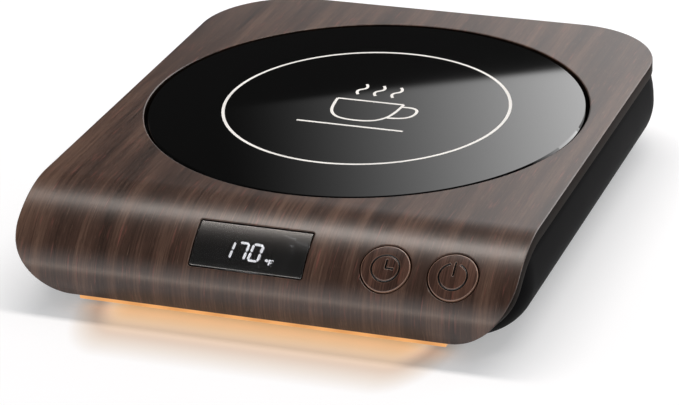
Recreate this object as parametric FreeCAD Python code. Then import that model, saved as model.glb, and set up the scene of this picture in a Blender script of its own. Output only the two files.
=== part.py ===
"""Electric mug warmer: a bent wood cover over a black tray, with a glass hot plate and push buttons.

Every piece is one solid, or one group of like solids, in its own STEP file. Sizes are in
millimetres. The origin is on the table under the middle of the warmer, +Z is up, the display
faces -Y, and +X is to the right of someone who looks at the display.
"""

import FreeCAD, Part

import math
import os

os.makedirs("parts", exist_ok=True)

V = FreeCAD.Vector
X = V(1, 0, 0)
Y = V(0, 1, 0)
Z = V(0, 0, 1)

# Driving dimensions of the cover, a sheet that is bent down at the front
HALF_WIDTH = 60.0
TOP = 25.0
BACK = 71.8
BEND_START = -49.6
SHEET = 3.0
BEND_RADIUS = 26.0
BEND_ANGLE = 45.0
BEND_FLAT = 1.5
CURL_RADIUS = 10.5
CURL_ANGLE = 115.0
REAR_CORNER = 24.0
LIP_CORNER_X = 15.0
LIP_CORNER_RUN = 18.0

# Hot plate
PLATE_Y = 6.15
OPENING_R = 54.1
GLASS_R = 53.5
GLASS_TOP = 24.8
GLASS_THICK = 5.0
SEAL_THICK = 0.6
LEDGE_INNER_R = 49.5
LEDGE_THICK = 1.6
RING_OUTER_R = 55.8
SPREADER_R = 36.0
SPREADER_THICK = 2.0
ELEMENT_THICK = 0.6
INSULATION_THICK = 3.2
RETAINER_THICK = 0.8
RETAINER_SCREW_R = 51.7
RETAINER_ANGLES = (30.0, 150.0, 270.0)
SENSOR_HOLE_R = 2.8

# Lower tray
FOOT_HEIGHT = 2.0
TRAY_BOTTOM = FOOT_HEIGHT
TRAY_WALL = 2.0
TRAY_BULGE = 0.4
TRAY_BILGE_R = 11.8
TRAY_TOP_INSET = 0.8
TRAY_FRONT = -70.5
TRAY_FRONT_CORNER = 16.0
COVER_GAP = 0.15
FRONT_WALL_Y = -66.9
FRONT_WALL_TOP = 9.6
TOE_HALF = 44.5
TOE_FRONT = -66.0
TOE_BACK = -52.0
TOE_TOP = 7.0

# Display and buttons, measured along the curved front from where the bend starts
DISPLAY_RUN = 17.45
DISPLAY_HEIGHT = 11.6
DISPLAY_LEFT = -16.1
DISPLAY_RIGHT = 10.95
BUTTON_RUN = 18.3
TIMER_X = 29.6
POWER_X = 45.2
BUTTON_R = 5.6
BUTTON_GAP = 0.3
BUTTON_PROUD = 0.2
BUTTON_TRAVEL = 0.6
FLANGE_R = 6.8
FLANGE_DEPTH = 4.8
STEM_R = 1.5
PLUNGER_R = 1.7
PLUNGER_CLEARANCE = 0.08
PLUNGER_TOP = 6.0
PLUNGER_END = 8.3
SWITCH_TOP = 7.0
SWITCH_CAVITY_END = 9.4
BOARD_TOP = 10.5
BOARD_THICK = 1.2

# Screws of the bracket that carries the control board
BRACKET_X = (-28.0, 34.0)
BRACKET_Y = -50.3

# Light bar under the front lip
BAR_HALF = 44.0
BAR_FRONT = -69.2
BAR_BOTTOM = 2.5
BAR_TOP = 4.9

# Power board and socket at the back
PCB_HALF = 34.0
PCB_FRONT = 24.0
PCB_BACK = 65.0
PCB_BOTTOM = 6.5
PCB_THICK = 1.6
PCB_SCREWS = ((-30.0, 28.0), (30.0, 28.0), (-30.0, 60.0), (30.0, 60.0))
HEADER_X = (-22.0, -11.0, 3.0, 14.0, 24.0)
SOCKET_Z = 12.5
SOCKET_MOUTH = 71.0
SOCKET_BORE_R = 2.85
SOCKET_PIN_R = 1.05
SOCKET_NOSE_R = 4.0
SOCKET_DEPTH = 9.8
SOCKET_BACK = 66.8
SOCKET_PIN_ROOT_R = 1.4

# Feet and case screws
FEET = ((-34.0, -51.0), (34.0, -51.0), (-34.0, 44.0), (34.0, 44.0))
FOOT_R = 6.0
FOOT_RECESS = 0.8
CASE_SCREWS = ((-42.0, -44.0), (42.0, -44.0), (-40.0, 56.0), (40.0, 56.0))
CASE_SCREW_R = 1.3
CASE_BOSS_R = 3.5
CASE_SPLIT = 14.0

UNDERSIDE = TOP - SHEET
FLOOR = TRAY_BOTTOM + TRAY_WALL
GLASS_BOTTOM = GLASS_TOP - GLASS_THICK
SEAL_BOTTOM = GLASS_BOTTOM - SEAL_THICK
LEDGE_BOTTOM = SEAL_BOTTOM - LEDGE_THICK
SPREADER_BOTTOM = GLASS_BOTTOM - SPREADER_THICK
ELEMENT_BOTTOM = SPREADER_BOTTOM - ELEMENT_THICK
INSULATION_BOTTOM = ELEMENT_BOTTOM - INSULATION_THICK
RETAINER_BOTTOM = INSULATION_BOTTOM - RETAINER_THICK
BEND_RUN = BEND_RADIUS * math.radians(BEND_ANGLE)
CURL_RUN = CURL_RADIUS * math.radians(CURL_ANGLE - BEND_ANGLE)
LIP_RUN = BEND_RUN + BEND_FLAT + CURL_RUN
PCB_TOP = PCB_BOTTOM + PCB_THICK


def box(x0, x1, y0, y1, z0, z1):
    """A block between two corners."""
    return Part.makeBox(x1 - x0, y1 - y0, z1 - z0, V(x0, y0, z0))


def rod(r, z0, z1, x=0.0, y=0.0):
    """An upright cylinder."""
    return Part.makeCylinder(r, z1 - z0, V(x, y, z0))


def tube(r_in, r_out, z0, z1, x=0.0, y=0.0):
    """An upright ring."""
    return rod(r_out, z0, z1, x, y).cut(rod(r_in, z0 - 1, z1 + 1, x, y))


def fused(shapes):
    """One solid from several that touch."""
    shapes = list(shapes)
    if len(shapes) == 1:
        return shapes[0]
    return shapes[0].fuse(shapes[1:]).removeSplitter()


def group(shapes):
    """Separate solids that share one file."""
    return Part.makeCompound(list(shapes))


def rounded_block(x0, x1, y0, y1, z0, z1, r):
    """A block whose four upright edges are rounded."""
    block = box(x0, x1, y0, y1, z0, z1)
    upright = [e for e in block.Edges if abs(e.tangentAt(e.FirstParameter).z) > 0.9]
    return block.makeFillet(r, upright)


def skin_angle(run):
    """How far the cover has turned down, in degrees, at a length along its bend."""
    if run <= 0:
        return 0.0
    if run < BEND_RUN:
        return math.degrees(run / BEND_RADIUS)
    if run < BEND_RUN + BEND_FLAT:
        return BEND_ANGLE
    return BEND_ANGLE + math.degrees((run - BEND_RUN - BEND_FLAT) / CURL_RADIUS)


def skin_normal(angle):
    """The outward direction where the cover has turned by an angle."""
    t = math.radians(angle)
    return V(0, -math.sin(t), math.cos(t))


def skin_slope(run):
    """The direction down the cover's face at a length along its bend."""
    t = math.radians(skin_angle(run))
    return V(0, -math.cos(t), -math.sin(t))


def skin_point(run, depth=0.0, x=0.0):
    """A point on the cover's outer face, or that far under it."""
    angle = skin_angle(run)
    t = math.radians(angle)
    bend = math.radians(BEND_ANGLE)
    y = BEND_START
    z = TOP
    if run <= 0:
        y -= run
    elif run < BEND_RUN:
        y -= BEND_RADIUS * math.sin(t)
        z -= BEND_RADIUS * (1 - math.cos(t))
    else:
        flat = min(run - BEND_RUN, BEND_FLAT)
        y -= BEND_RADIUS * math.sin(bend) + flat * math.cos(bend)
        z -= BEND_RADIUS * (1 - math.cos(bend)) + flat * math.sin(bend)
        if run > BEND_RUN + BEND_FLAT:
            y -= CURL_RADIUS * (math.sin(t) - math.sin(bend))
            z -= CURL_RADIUS * (math.cos(bend) - math.cos(t))
    return V(x, y, z) - skin_normal(angle) * depth


def skin_edges(depth):
    """The cover's section line from the back edge to the lip, as lines and arcs."""
    runs = (BEND_START - BACK, 0, BEND_RUN, BEND_RUN + BEND_FLAT, LIP_RUN)
    points = [skin_point(run, depth) for run in runs]
    bend_middle = skin_point(BEND_RUN / 2, depth)
    curl_middle = skin_point(LIP_RUN - CURL_RUN / 2, depth)
    return points, [
        Part.LineSegment(points[0], points[1]).toShape(),
        Part.Arc(points[1], bend_middle, points[2]).toShape(),
        Part.LineSegment(points[2], points[3]).toShape(),
        Part.Arc(points[3], curl_middle, points[4]).toShape(),
    ]


def across(edges, half):
    """The solid of a closed section in the YZ plane, carried from -half to half along X."""
    face = Part.Face(Part.Wire(Part.__sortEdges__(edges)))
    face.translate(V(-half, 0, 0))
    return face.extrude(V(2 * half, 0, 0))


def under_skin(depth, half=HALF_WIDTH + 5):
    """All the space that lies deeper than a depth under the cover's outer face."""
    points, edges = skin_edges(depth)
    low = V(0, points[-1].y, -20)
    back_low = V(0, BACK + 20, -20)
    back_top = V(0, BACK + 20, points[0].z)
    corners = [points[-1], low, back_low, back_top, points[0]]
    for a, b in zip(corners, corners[1:]):
        edges.append(Part.LineSegment(a, b).toShape())
    return across(edges, half)


def front_place(run, x=0.0, depth=0.0):
    """Turns a piece drawn with +Z outward and +Y up the slope on to the curved front."""
    turn = FreeCAD.Rotation(X, skin_angle(run))
    return FreeCAD.Placement(skin_point(run, depth, x), turn)


def on_front(shape, run, x=0.0, depth=0.0):
    """A copy of a piece, set on the curved front."""
    placed = shape.copy()
    placed.Placement = front_place(run, x, depth).multiply(placed.Placement)
    return placed


def plan_prism(inset, z0, z1):
    """The cover's plan, with round corners at the back and a square front past the lip."""
    r = REAR_CORNER - inset
    w = HALF_WIDTH - inset
    back = BACK - inset
    front = BEND_START - 60
    s = r * (1 - math.sqrt(0.5))
    a = V(-w, front, z0)
    b = V(w, front, z0)
    c = V(w, back - r, z0)
    d = V(w - r, back, z0)
    e = V(-w + r, back, z0)
    f = V(-w, back - r, z0)
    edges = [
        Part.LineSegment(a, b).toShape(),
        Part.LineSegment(b, c).toShape(),
        Part.Arc(c, V(w - s, back - s, z0), d).toShape(),
        Part.LineSegment(d, e).toShape(),
        Part.Arc(e, V(-w + s, back - s, z0), f).toShape(),
        Part.LineSegment(f, a).toShape(),
    ]
    return Part.Face(Part.Wire(edges)).extrude(V(0, 0, z1 - z0))


def lip_corner_cutters():
    """Cuts the cover's two lower corners to a quarter ellipse, square to the curled lip."""
    start = skin_point(LIP_RUN - LIP_CORNER_RUN)
    end = skin_point(LIP_RUN)
    down = end.sub(start)
    length = down.Length
    down.normalize()
    out = X.cross(down)
    cutters = []
    for side in (-1, 1):
        centre = start + X * (side * (HALF_WIDTH - LIP_CORNER_X)) - out * 25
        major, minor = (X * side, down) if LIP_CORNER_X > length else (down, X * side)
        big, small = max(LIP_CORNER_X, length), min(LIP_CORNER_X, length)
        ellipse = Part.Ellipse(centre + major * big, centre + minor * small, centre)
        disc = Part.Face(Part.Wire([ellipse.toShape()])).extrude(out * 50)
        corners = [
            centre + X * (side * i) + down * j
            for i, j in ((0, 0), (30, 0), (30, 30), (0, 30))
        ]
        edges = [
            Part.LineSegment(corners[i], corners[(i + 1) % 4]).toShape() for i in range(4)
        ]
        block = Part.Face(Part.Wire(edges)).extrude(out * 50)
        cutters.append(block.cut(disc))
    return cutters


def display_block(height, width, depth0, depth1, r):
    """A block square to the front at the display, from one depth to another."""
    middle = (DISPLAY_LEFT + DISPLAY_RIGHT) / 2
    block = rounded_block(
        -width / 2, width / 2, -height / 2, height / 2, -depth1, -depth0, r
    )
    return on_front(block, DISPLAY_RUN, middle)


DISPLAY_WIDTH = DISPLAY_RIGHT - DISPLAY_LEFT


def make_top_cover():
    """The bent wood-faced sheet with openings for the glass, the display and two buttons."""
    outer, outer_edges = skin_edges(0)
    inner, inner_edges = skin_edges(SHEET)
    ends = [
        Part.LineSegment(outer[0], inner[0]).toShape(),
        Part.LineSegment(outer[-1], inner[-1]).toShape(),
    ]
    sheet = across(outer_edges + inner_edges + ends, HALF_WIDTH)
    sheet = sheet.common(plan_prism(0, -5, TOP + 5))
    for cutter in lip_corner_cutters():
        sheet = sheet.cut(cutter)
    sheet = sheet.cut(rod(OPENING_R, UNDERSIDE - 1, TOP + 1, 0, PLATE_Y))
    sheet = sheet.cut(
        display_block(DISPLAY_HEIGHT + 0.3, DISPLAY_WIDTH + 0.3, -2, SHEET + 3, 0.6)
    )
    for x in (TIMER_X, POWER_X):
        hole = Part.makeCylinder(BUTTON_R + BUTTON_GAP, 8, V(0, 0, -6))
        sheet = sheet.cut(on_front(hole, BUTTON_RUN, x))
    return sheet.removeSplitter()


def tray_section():
    """Height of the tray's widest line, and the radius and rise of the arc above it."""
    bulge_z = TRAY_BOTTOM + TRAY_BILGE_R
    rise = UNDERSIDE - bulge_z
    sag = TRAY_TOP_INSET + TRAY_BULGE
    upper_r = (rise * rise + sag * sag) / (2 * sag)
    return bulge_z, upper_r, rise


def tray_wire(offset):
    """The points of the tray's side section in XZ, inset by an offset."""
    bulge_z, upper_r, rise = tray_section()
    bilge = TRAY_BILGE_R - offset
    upper = upper_r - offset
    side = HALF_WIDTH + TRAY_BULGE - offset
    tilt = math.asin(rise / upper_r)
    top = V(side - upper * (1 - math.cos(tilt)), 0, bulge_z + upper * math.sin(tilt))
    top_mid = V(
        side - upper * (1 - math.cos(tilt / 2)), 0, bulge_z + upper * math.sin(tilt / 2)
    )
    wide = V(side, 0, bulge_z)
    low_mid = V(side - bilge * (1 - math.sqrt(0.5)), 0, bulge_z - bilge * math.sqrt(0.5))
    low = V(side - bilge, 0, bulge_z - bilge)
    return low, low_mid, wide, top_mid, top


def boat(offset, front, front_corner):
    """The tray's outer form inset by an offset: the side section carried round the plan."""
    low, low_mid, wide, top_mid, top = tray_wire(offset)
    edge = HALF_WIDTH
    back = BACK
    solids = []

    def section(axis_r):
        """The section from a corner's axis out to the wall, at that radius."""
        shift = V(edge - axis_r, 0, 0)
        a = V(0, 0, low.z)
        f = V(0, 0, top.z)
        pts = [p - shift for p in (low, low_mid, wide, top_mid, top)]
        edges = [
            Part.LineSegment(a, pts[0]).toShape(),
            Part.Arc(pts[0], pts[1], pts[2]).toShape(),
            Part.Arc(pts[2], pts[3], pts[4]).toShape(),
            Part.LineSegment(pts[4], f).toShape(),
            Part.LineSegment(f, a).toShape(),
        ]
        return Part.Face(Part.Wire(edges))

    corners = (
        (1, back - REAR_CORNER, REAR_CORNER, 0),
        (-1, back - REAR_CORNER, REAR_CORNER, 90),
        (-1, front + front_corner, front_corner, 180),
        (1, front + front_corner, front_corner, 270),
    )
    for side, cy, r, start in corners:
        wedge = section(r)
        wedge.rotate(V(0, 0, 0), Z, start)
        wedge = wedge.revolve(V(0, 0, 0), Z, 90)
        wedge.translate(V(side * (edge - r), cy, 0))
        solids.append(wedge)
    side_run = back - REAR_CORNER - front - front_corner
    wide_run = 2 * (edge - REAR_CORNER)
    front_run = 2 * (edge - front_corner)
    right = section(REAR_CORNER)
    right.translate(V(edge - REAR_CORNER, front + front_corner, 0))
    solids.append(right.extrude(V(0, side_run, 0)))
    left = section(REAR_CORNER)
    left.rotate(V(0, 0, 0), Z, 180)
    left.translate(V(-edge + REAR_CORNER, front + front_corner, 0))
    solids.append(left.extrude(V(0, side_run, 0)))
    rear = section(REAR_CORNER)
    rear.rotate(V(0, 0, 0), Z, 90)
    rear.translate(V(-edge + REAR_CORNER, back - REAR_CORNER, 0))
    solids.append(rear.extrude(V(wide_run, 0, 0)))
    fore = section(front_corner)
    fore.rotate(V(0, 0, 0), Z, 270)
    fore.translate(V(-edge + front_corner, front + front_corner, 0))
    solids.append(fore.extrude(V(front_run, 0, 0)))
    core = edge - REAR_CORNER
    middle = box(-core, core, front + front_corner, back - REAR_CORNER, low.z, top.z)
    solids.append(middle)
    return fused(solids)


def make_lower_tray():
    """The black tray with round sides, screw posts, a light bar toe and a socket hole."""
    outer = boat(0, TRAY_FRONT, TRAY_FRONT_CORNER)
    cavity = boat(TRAY_WALL, TRAY_FRONT, TRAY_FRONT_CORNER)
    top_face = [f for f in cavity.Faces if abs(f.CenterOfMass.z - cavity.BoundBox.ZMax) < 1e-6]
    cavity = fused([cavity] + [f.extrude(V(0, 0, 10)) for f in top_face])
    cavity = cavity.common(box(-80, 80, FRONT_WALL_Y, 90, 0, 40))
    toe = rounded_block(
        -TOE_HALF, TOE_HALF, TOE_FRONT, TOE_BACK, TRAY_BOTTOM, TOE_TOP, 1.5
    )
    tray = outer.cut(cavity)
    tray = fused([tray, toe.cut(cavity.common(box(-80, 80, -80, 90, TOE_TOP, 40)))])
    tray = tray.common(under_skin(SHEET + COVER_GAP))
    notch = HALF_WIDTH - 7
    tray = tray.cut(box(-notch, notch, -80, FRONT_WALL_Y + 1.5, FRONT_WALL_TOP, 40))
    pocket = box(-41.5, 41.5, TOE_FRONT + 1.4, -58.5, TRAY_BOTTOM + 1.2, 20)
    slot = box(-40.5, 40.5, TOE_FRONT - 1, TOE_FRONT + 2, BAR_BOTTOM + 0.8, BAR_TOP - 0.1)
    bar_gap = 0.2
    reach = BAR_HALF + bar_gap
    relief = box(-reach, reach, -80, TOE_FRONT, 0, BAR_TOP + bar_gap)
    channel = box(HEADER_X[4] - 3, HEADER_X[4] + 3, -59, TOE_BACK + 1, FLOOR, 20)
    tray = tray.cut(pocket).cut(slot).cut(channel).cut(relief)
    for x, y in CASE_SCREWS:
        post = rod(CASE_BOSS_R, FLOOR - 1, CASE_SPLIT, x, y)
        tray = fused([tray, post])
        tray = tray.cut(rod(2.9, 0, FLOOR + 1.5, x, y))
        tray = tray.cut(rod(CASE_SCREW_R + 0.25, 0, CASE_SPLIT + 1, x, y))
    for x, y in PCB_SCREWS:
        tray = fused([tray, rod(2.8, FLOOR - 0.5, PCB_BOTTOM, x, y)])
        tray = tray.cut(rod(0.97, FLOOR + 0.6, PCB_BOTTOM + 1, x, y))
    for x, y in FEET:
        tray = tray.cut(rod(FOOT_R + 0.1, 0, TRAY_BOTTOM + FOOT_RECESS, x, y))
    hole = Part.makeCylinder(SOCKET_NOSE_R + 0.15, 20, V(0, 60, SOCKET_Z), Y)
    tray = tray.cut(hole)
    for i in range(7):
        x = -18 + 6 * i
        vent = rounded_block(x - 1, x + 1, -18, 2, 0, FLOOR + 1, 0.95)
        tray = tray.cut(vent)
    return tray.removeSplitter()


def make_inner_frame():
    """The black chassis under the cover, which holds the glass and takes the screws."""
    low = UNDERSIDE - 1.8
    rear = rounded_block(-55.9, 55.9, -20, 67, low, UNDERSIDE, 20)
    fore = rounded_block(-55.9, 55.9, -46, 20, low, UNDERSIDE, 5)
    frame = fused([rear, fore, rod(RING_OUTER_R, LEDGE_BOTTOM, UNDERSIDE, 0, PLATE_Y)])
    frame = frame.cut(rod(OPENING_R, SEAL_BOTTOM, UNDERSIDE + 1, 0, PLATE_Y))
    frame = frame.cut(rod(LEDGE_INNER_R, 0, UNDERSIDE + 1, 0, PLATE_Y))
    posts = []
    for x, y in CASE_SCREWS:
        posts.append(rod(CASE_BOSS_R, CASE_SPLIT + 0.05, UNDERSIDE - 1, x, y))
    for x, y in retainer_places():
        posts.append(rod(2.4, INSULATION_BOTTOM, LEDGE_BOTTOM + 0.5, x, y))
    frame = fused([frame] + posts)
    for x, y in CASE_SCREWS:
        frame = frame.cut(rod(CASE_SCREW_R + 0.02, 10, UNDERSIDE - 1.2, x, y))
    for x, y in retainer_places():
        frame = frame.cut(rod(1.02, INSULATION_BOTTOM - 1, SEAL_BOTTOM - 0.6, x, y))
    for x in BRACKET_X:
        tab = box(x - 3, x + 3, -53, -45, UNDERSIDE - 3.3, UNDERSIDE - 0.8)
        tab = tab.cut(rod(OPENING_R, 0, UNDERSIDE + 1, 0, PLATE_Y))
        hole = rod(0.97, 10, UNDERSIDE - 1.3, x, BRACKET_Y)
        frame = fused([frame, tab]).cut(hole)
    return frame


def retainer_places():
    """Where the heater's three screws stand."""
    places = []
    for angle in RETAINER_ANGLES:
        t = math.radians(angle)
        places.append(
            (RETAINER_SCREW_R * math.cos(t), PLATE_Y + RETAINER_SCREW_R * math.sin(t))
        )
    return places


def make_glass_plate():
    """The round black glass with a small bevel round its top edge."""
    glass = rod(GLASS_R, GLASS_BOTTOM, GLASS_TOP, 0, PLATE_Y)
    rims = [e for e in glass.Edges if e.BoundBox.ZMin > GLASS_TOP - 0.01]
    return glass.makeChamfer(0.4, rims)


def make_glass_seal():
    """The silicone ring between the glass and its ledge."""
    return tube(LEDGE_INNER_R + 0.6, GLASS_R - 0.2, SEAL_BOTTOM, GLASS_BOTTOM, 0, PLATE_Y)


def make_heat_spreader():
    """The aluminium disc that spreads the heat under the glass."""
    return rod(SPREADER_R, SPREADER_BOTTOM, GLASS_BOTTOM, 0, PLATE_Y)


def make_heating_element():
    """The flat heater disc with a hole for the sensor and two tabs for its leads."""
    disc = rod(SPREADER_R - 0.5, ELEMENT_BOTTOM, SPREADER_BOTTOM, 0, PLATE_Y)
    tabs = [
        box(x - 2, x + 2, 38, 44.5, ELEMENT_BOTTOM, SPREADER_BOTTOM) for x in (-5, 5)
    ]
    disc = fused([disc] + tabs)
    return disc.cut(rod(SENSOR_HOLE_R, 0, 30, 0, PLATE_Y))


def make_insulation_pad():
    """The mineral board that keeps the heat off the electronics."""
    pad = rod(SPREADER_R, INSULATION_BOTTOM, ELEMENT_BOTTOM, 0, PLATE_Y)
    return pad.cut(rod(SENSOR_HOLE_R, 0, 30, 0, PLATE_Y))


def make_heater_retainer():
    """The pressed steel dish with three arms that holds the heater up to the glass."""
    dish = rod(SPREADER_R + 1.8, RETAINER_BOTTOM, INSULATION_BOTTOM, 0, PLATE_Y)
    rim = tube(
        SPREADER_R + 1, SPREADER_R + 1.8, RETAINER_BOTTOM, INSULATION_BOTTOM + 2, 0, PLATE_Y
    )
    pieces = [dish, rim]
    for angle in RETAINER_ANGLES:
        arm = rounded_block(
            SPREADER_R - 4, RETAINER_SCREW_R + 3, -4, 4, RETAINER_BOTTOM, INSULATION_BOTTOM, 2.9
        )
        arm.rotate(V(0, 0, 0), Z, angle)
        arm.translate(V(0, PLATE_Y, 0))
        pieces.append(arm)
    plate = fused(pieces)
    for x, y in retainer_places():
        plate = plate.cut(rod(1.2, 0, 20, x, y))
    gap = box(-8, 8, SPREADER_R + 0.3 + PLATE_Y - 1, SPREADER_R + 5 + PLATE_Y, 0, 30)
    lead_gap = gap.common(rod(SPREADER_R + 3, INSULATION_BOTTOM, 30, 0, PLATE_Y))
    return plate.cut(lead_gap).cut(rod(SENSOR_HOLE_R, 0, 30, 0, PLATE_Y))


def screw(x, y, head_low, head_high, head_r, shank_r, tip):
    """A pan-head screw that points up, with a cross in its head."""
    head = rod(head_r, head_low, head_high, x, y)
    rims = [e for e in head.Edges if e.BoundBox.ZMax < head_low + 0.01]
    head = head.makeFillet(min(0.4, (head_high - head_low) / 3), rims)
    arm = head_r * 0.62
    depth = (head_high - head_low) * 0.5
    for wide, long in ((0.25, arm), (arm, 0.25)):
        head = head.cut(
            box(x - wide, x + wide, y - long, y + long, head_low - 1, head_low + depth)
        )
    shank = rod(shank_r, head_high, tip, x, y)
    return fused([head, shank])


def make_retainer_screws():
    """Three screws that hold the heater's steel dish."""
    return group(
        screw(x, y, RETAINER_BOTTOM - 1.2, RETAINER_BOTTOM, 2.0, 1.0, SEAL_BOTTOM - 0.9)
        for x, y in retainer_places()
    )


def make_case_screws():
    """Four screws that hold the tray to the frame."""
    return group(
        screw(x, y, FLOOR - 0.3, FLOOR + 1.5, 2.5, CASE_SCREW_R, UNDERSIDE - 2)
        for x, y in CASE_SCREWS
    )


def make_rubber_feet():
    """Four round feet, each with a shallow dish in its sole."""
    feet = []
    for x, y in FEET:
        foot = rod(FOOT_R, 0, TRAY_BOTTOM + FOOT_RECESS, x, y)
        rims = [e for e in foot.Edges if e.BoundBox.ZMax < 0.01]
        foot = foot.makeFillet(0.6, rims)
        feet.append(foot.cut(rod(FOOT_R - 2.4, -1, 0.4, x, y)))
    return group(feet)


def make_sensor():
    """The temperature bead in its holder, pressed up against the spreader."""
    holder = rod(2.5, RETAINER_BOTTOM - 1.2, SPREADER_BOTTOM - 1.0, 0, PLATE_Y)
    bead = rod(1.4, SPREADER_BOTTOM - 1.0, SPREADER_BOTTOM, 0, PLATE_Y)
    flange = rod(4.2, RETAINER_BOTTOM - 1.2, RETAINER_BOTTOM, 0, PLATE_Y)
    return fused([holder, bead, flange])


FUSE_Y = 16.5
FUSE_R = 1.6


def make_thermal_fuse():
    """The one-shot fuse that lies under the steel dish."""
    z = RETAINER_BOTTOM - FUSE_R
    body = Part.makeCylinder(FUSE_R, 9, V(-4.5, FUSE_Y, z), X)
    cone = Part.makeCone(FUSE_R, 0.6, 1.6, V(4.5, FUSE_Y, z), X)
    legs = Part.makeCylinder(0.45, 19, V(-9.5, FUSE_Y, z), X)
    return fused([body, cone, legs])


def make_fuse_clip():
    """The steel saddle that holds the thermal fuse to the dish."""
    z = RETAINER_BOTTOM - FUSE_R
    strap = Part.makeCylinder(FUSE_R + 0.5, 4, V(-2, FUSE_Y, z), X)
    block = box(-2, 2, FUSE_Y - FUSE_R - 0.5, FUSE_Y + FUSE_R + 0.5, z, RETAINER_BOTTOM)
    wings = box(-2, 2, FUSE_Y - 5, FUSE_Y + 5, RETAINER_BOTTOM - 0.5, RETAINER_BOTTOM)
    saddle = fused([strap, block, wings])
    saddle = saddle.cut(Part.makeCylinder(FUSE_R + 0.02, 12, V(-6, FUSE_Y, z), X))
    slot = box(-3, 3, FUSE_Y - FUSE_R - 0.02, FUSE_Y + FUSE_R + 0.02, z, RETAINER_BOTTOM + 1)
    return saddle.cut(slot)


def make_power_board():
    """The green board that carries the socket, the heater switch and the controller."""
    board = rounded_block(
        -PCB_HALF, PCB_HALF, PCB_FRONT, PCB_BACK, PCB_BOTTOM, PCB_TOP, 2
    )
    for x, y in PCB_SCREWS:
        board = board.cut(rod(1.2, 0, 20, x, y))
    return board


def make_board_screws():
    """Four screws that hold the power board, heads up."""
    screws = []
    for x, y in PCB_SCREWS:
        one = screw(0, 0, -1.3, 0, 1.9, 0.95, 3.2)
        one.rotate(V(0, 0, 0), X, 180)
        one.translate(V(x, y, PCB_TOP))
        screws.append(one)
    return group(screws)


def make_socket_body():
    """The low voltage socket's housing, with a round nose in the tray's back wall."""
    body = box(-4.6, 4.6, 56, SOCKET_BACK, PCB_TOP, SOCKET_Z + 4.7)
    start = V(0, SOCKET_BACK - 1, SOCKET_Z)
    nose = Part.makeCylinder(SOCKET_NOSE_R, SOCKET_MOUTH - start.y, start, Y)
    body = fused([body, nose])
    start = V(0, SOCKET_MOUTH - SOCKET_DEPTH, SOCKET_Z)
    bore = Part.makeCylinder(SOCKET_BORE_R, SOCKET_DEPTH + 1, start, Y)
    body = body.cut(bore)
    root = Part.makeCylinder(SOCKET_PIN_ROOT_R + 0.01, 9, V(0, 55, SOCKET_Z), Y)
    return body.cut(root)


def make_socket_pin():
    """The socket's centre pin on its thicker root, with a rounded tip."""
    floor = SOCKET_MOUTH - SOCKET_DEPTH
    pin = Part.makeCylinder(SOCKET_PIN_R, SOCKET_DEPTH - 0.8, V(0, floor, SOCKET_Z), Y)
    tips = [e for e in pin.Edges if e.BoundBox.YMin > SOCKET_MOUTH - 1.5]
    pin = pin.makeFillet(0.6, tips)
    root = Part.makeCylinder(SOCKET_PIN_ROOT_R, 3, V(0, floor - 3, SOCKET_Z), Y)
    return fused([pin, root])


def make_socket_contact():
    """The spring leaf at the side of the socket's bore, with its solder leg."""
    leaf = box(-4.9, -4.6, 58.5, 64, PCB_TOP, SOCKET_Z + 2)
    leg = box(-6.4, -4.6, 60, 62.5, PCB_TOP, PCB_TOP + 0.4)
    return fused([leaf, leg])


def make_capacitors():
    """Two electrolytic cans on the power board."""
    cans = []
    for x in (-18.0, -27.5):
        can = rod(4.0, PCB_TOP + 0.3, 15.8, x, 50)
        base = rod(4.3, PCB_TOP, PCB_TOP + 1.2, x, 50)
        cans.append(fused([can, base]))
    return group(cans)


def make_choke():
    """The wound choke that smooths the heater's supply, on its square base."""
    base = rounded_block(12, 25, 44, 57, PCB_TOP, PCB_TOP + 1, 1)
    coil = rod(5.6, PCB_TOP + 1, PCB_TOP + 6, 18.5, 50.5)
    cap = rod(6.2, PCB_TOP + 6, PCB_TOP + 7, 18.5, 50.5)
    return fused([base, coil, cap])


def make_transistor():
    """The flat power transistor that switches the heater, with its three legs."""
    body = box(20, 26.5, 33, 39, PCB_TOP, PCB_TOP + 2.3)
    tab = box(20.6, 25.9, 39, 40.2, PCB_TOP, PCB_TOP + 0.6)
    legs = [box(x, x + 0.8, 30.6, 33, PCB_TOP, PCB_TOP + 0.6) for x in (20.6, 22.9, 25.1)]
    return fused([body, tab] + legs)


def make_buzzer():
    """The small round sounder with a hole in its top."""
    can = rod(4.8, PCB_TOP, PCB_TOP + 3.4, -20, 36)
    return can.cut(rod(0.8, PCB_TOP + 1, PCB_TOP + 5, -20, 36))


def make_board_fuse():
    """The supply fuse in its pair of end caps."""
    z = PCB_TOP + 2.2
    glass = Part.makeCylinder(1.6, 9, V(-8.5, 52, z), X)
    caps = [box(x, x + 2.2, 49.8, 54.2, PCB_TOP, z + 2.2) for x in (-10.5, -0.2)]
    return fused([glass] + caps).cut(box(-0.2, 3, 49, 55, z + 2.2, z + 5))


def make_chips():
    """The controller and the regulator."""
    controller = box(-4, 4, 33, 41, PCB_TOP, PCB_TOP + 1.2)
    regulator = box(8, 12, 34, 39, PCB_TOP, PCB_TOP + 1.5)
    return group([controller, regulator])


def make_headers():
    """Five lead sockets along the board's front edge."""
    heads = []
    for x in HEADER_X:
        head = box(x - 3.5, x + 3.5, PCB_FRONT + 0.5, PCB_FRONT + 5.5, PCB_TOP, PCB_TOP + 3.6)
        heads.append(head.cut(box(x - 2.6, x + 2.6, 20, PCB_FRONT + 2.5, PCB_TOP + 1, 30)))
    return group(heads)


def local_block(u0, u1, x0, x1, depth0, depth1):
    """A block square to the front at the buttons. u runs down the slope."""
    return on_front(box(x0, x1, -u1, -u0, -depth1, -depth0), BUTTON_RUN)


def local_rod(r, x, depth0, depth1, u=0.0):
    """A cylinder square to the front at the buttons."""
    one = Part.makeCylinder(r, depth1 - depth0, V(x, -u, -depth1))
    return on_front(one, BUTTON_RUN)


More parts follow.
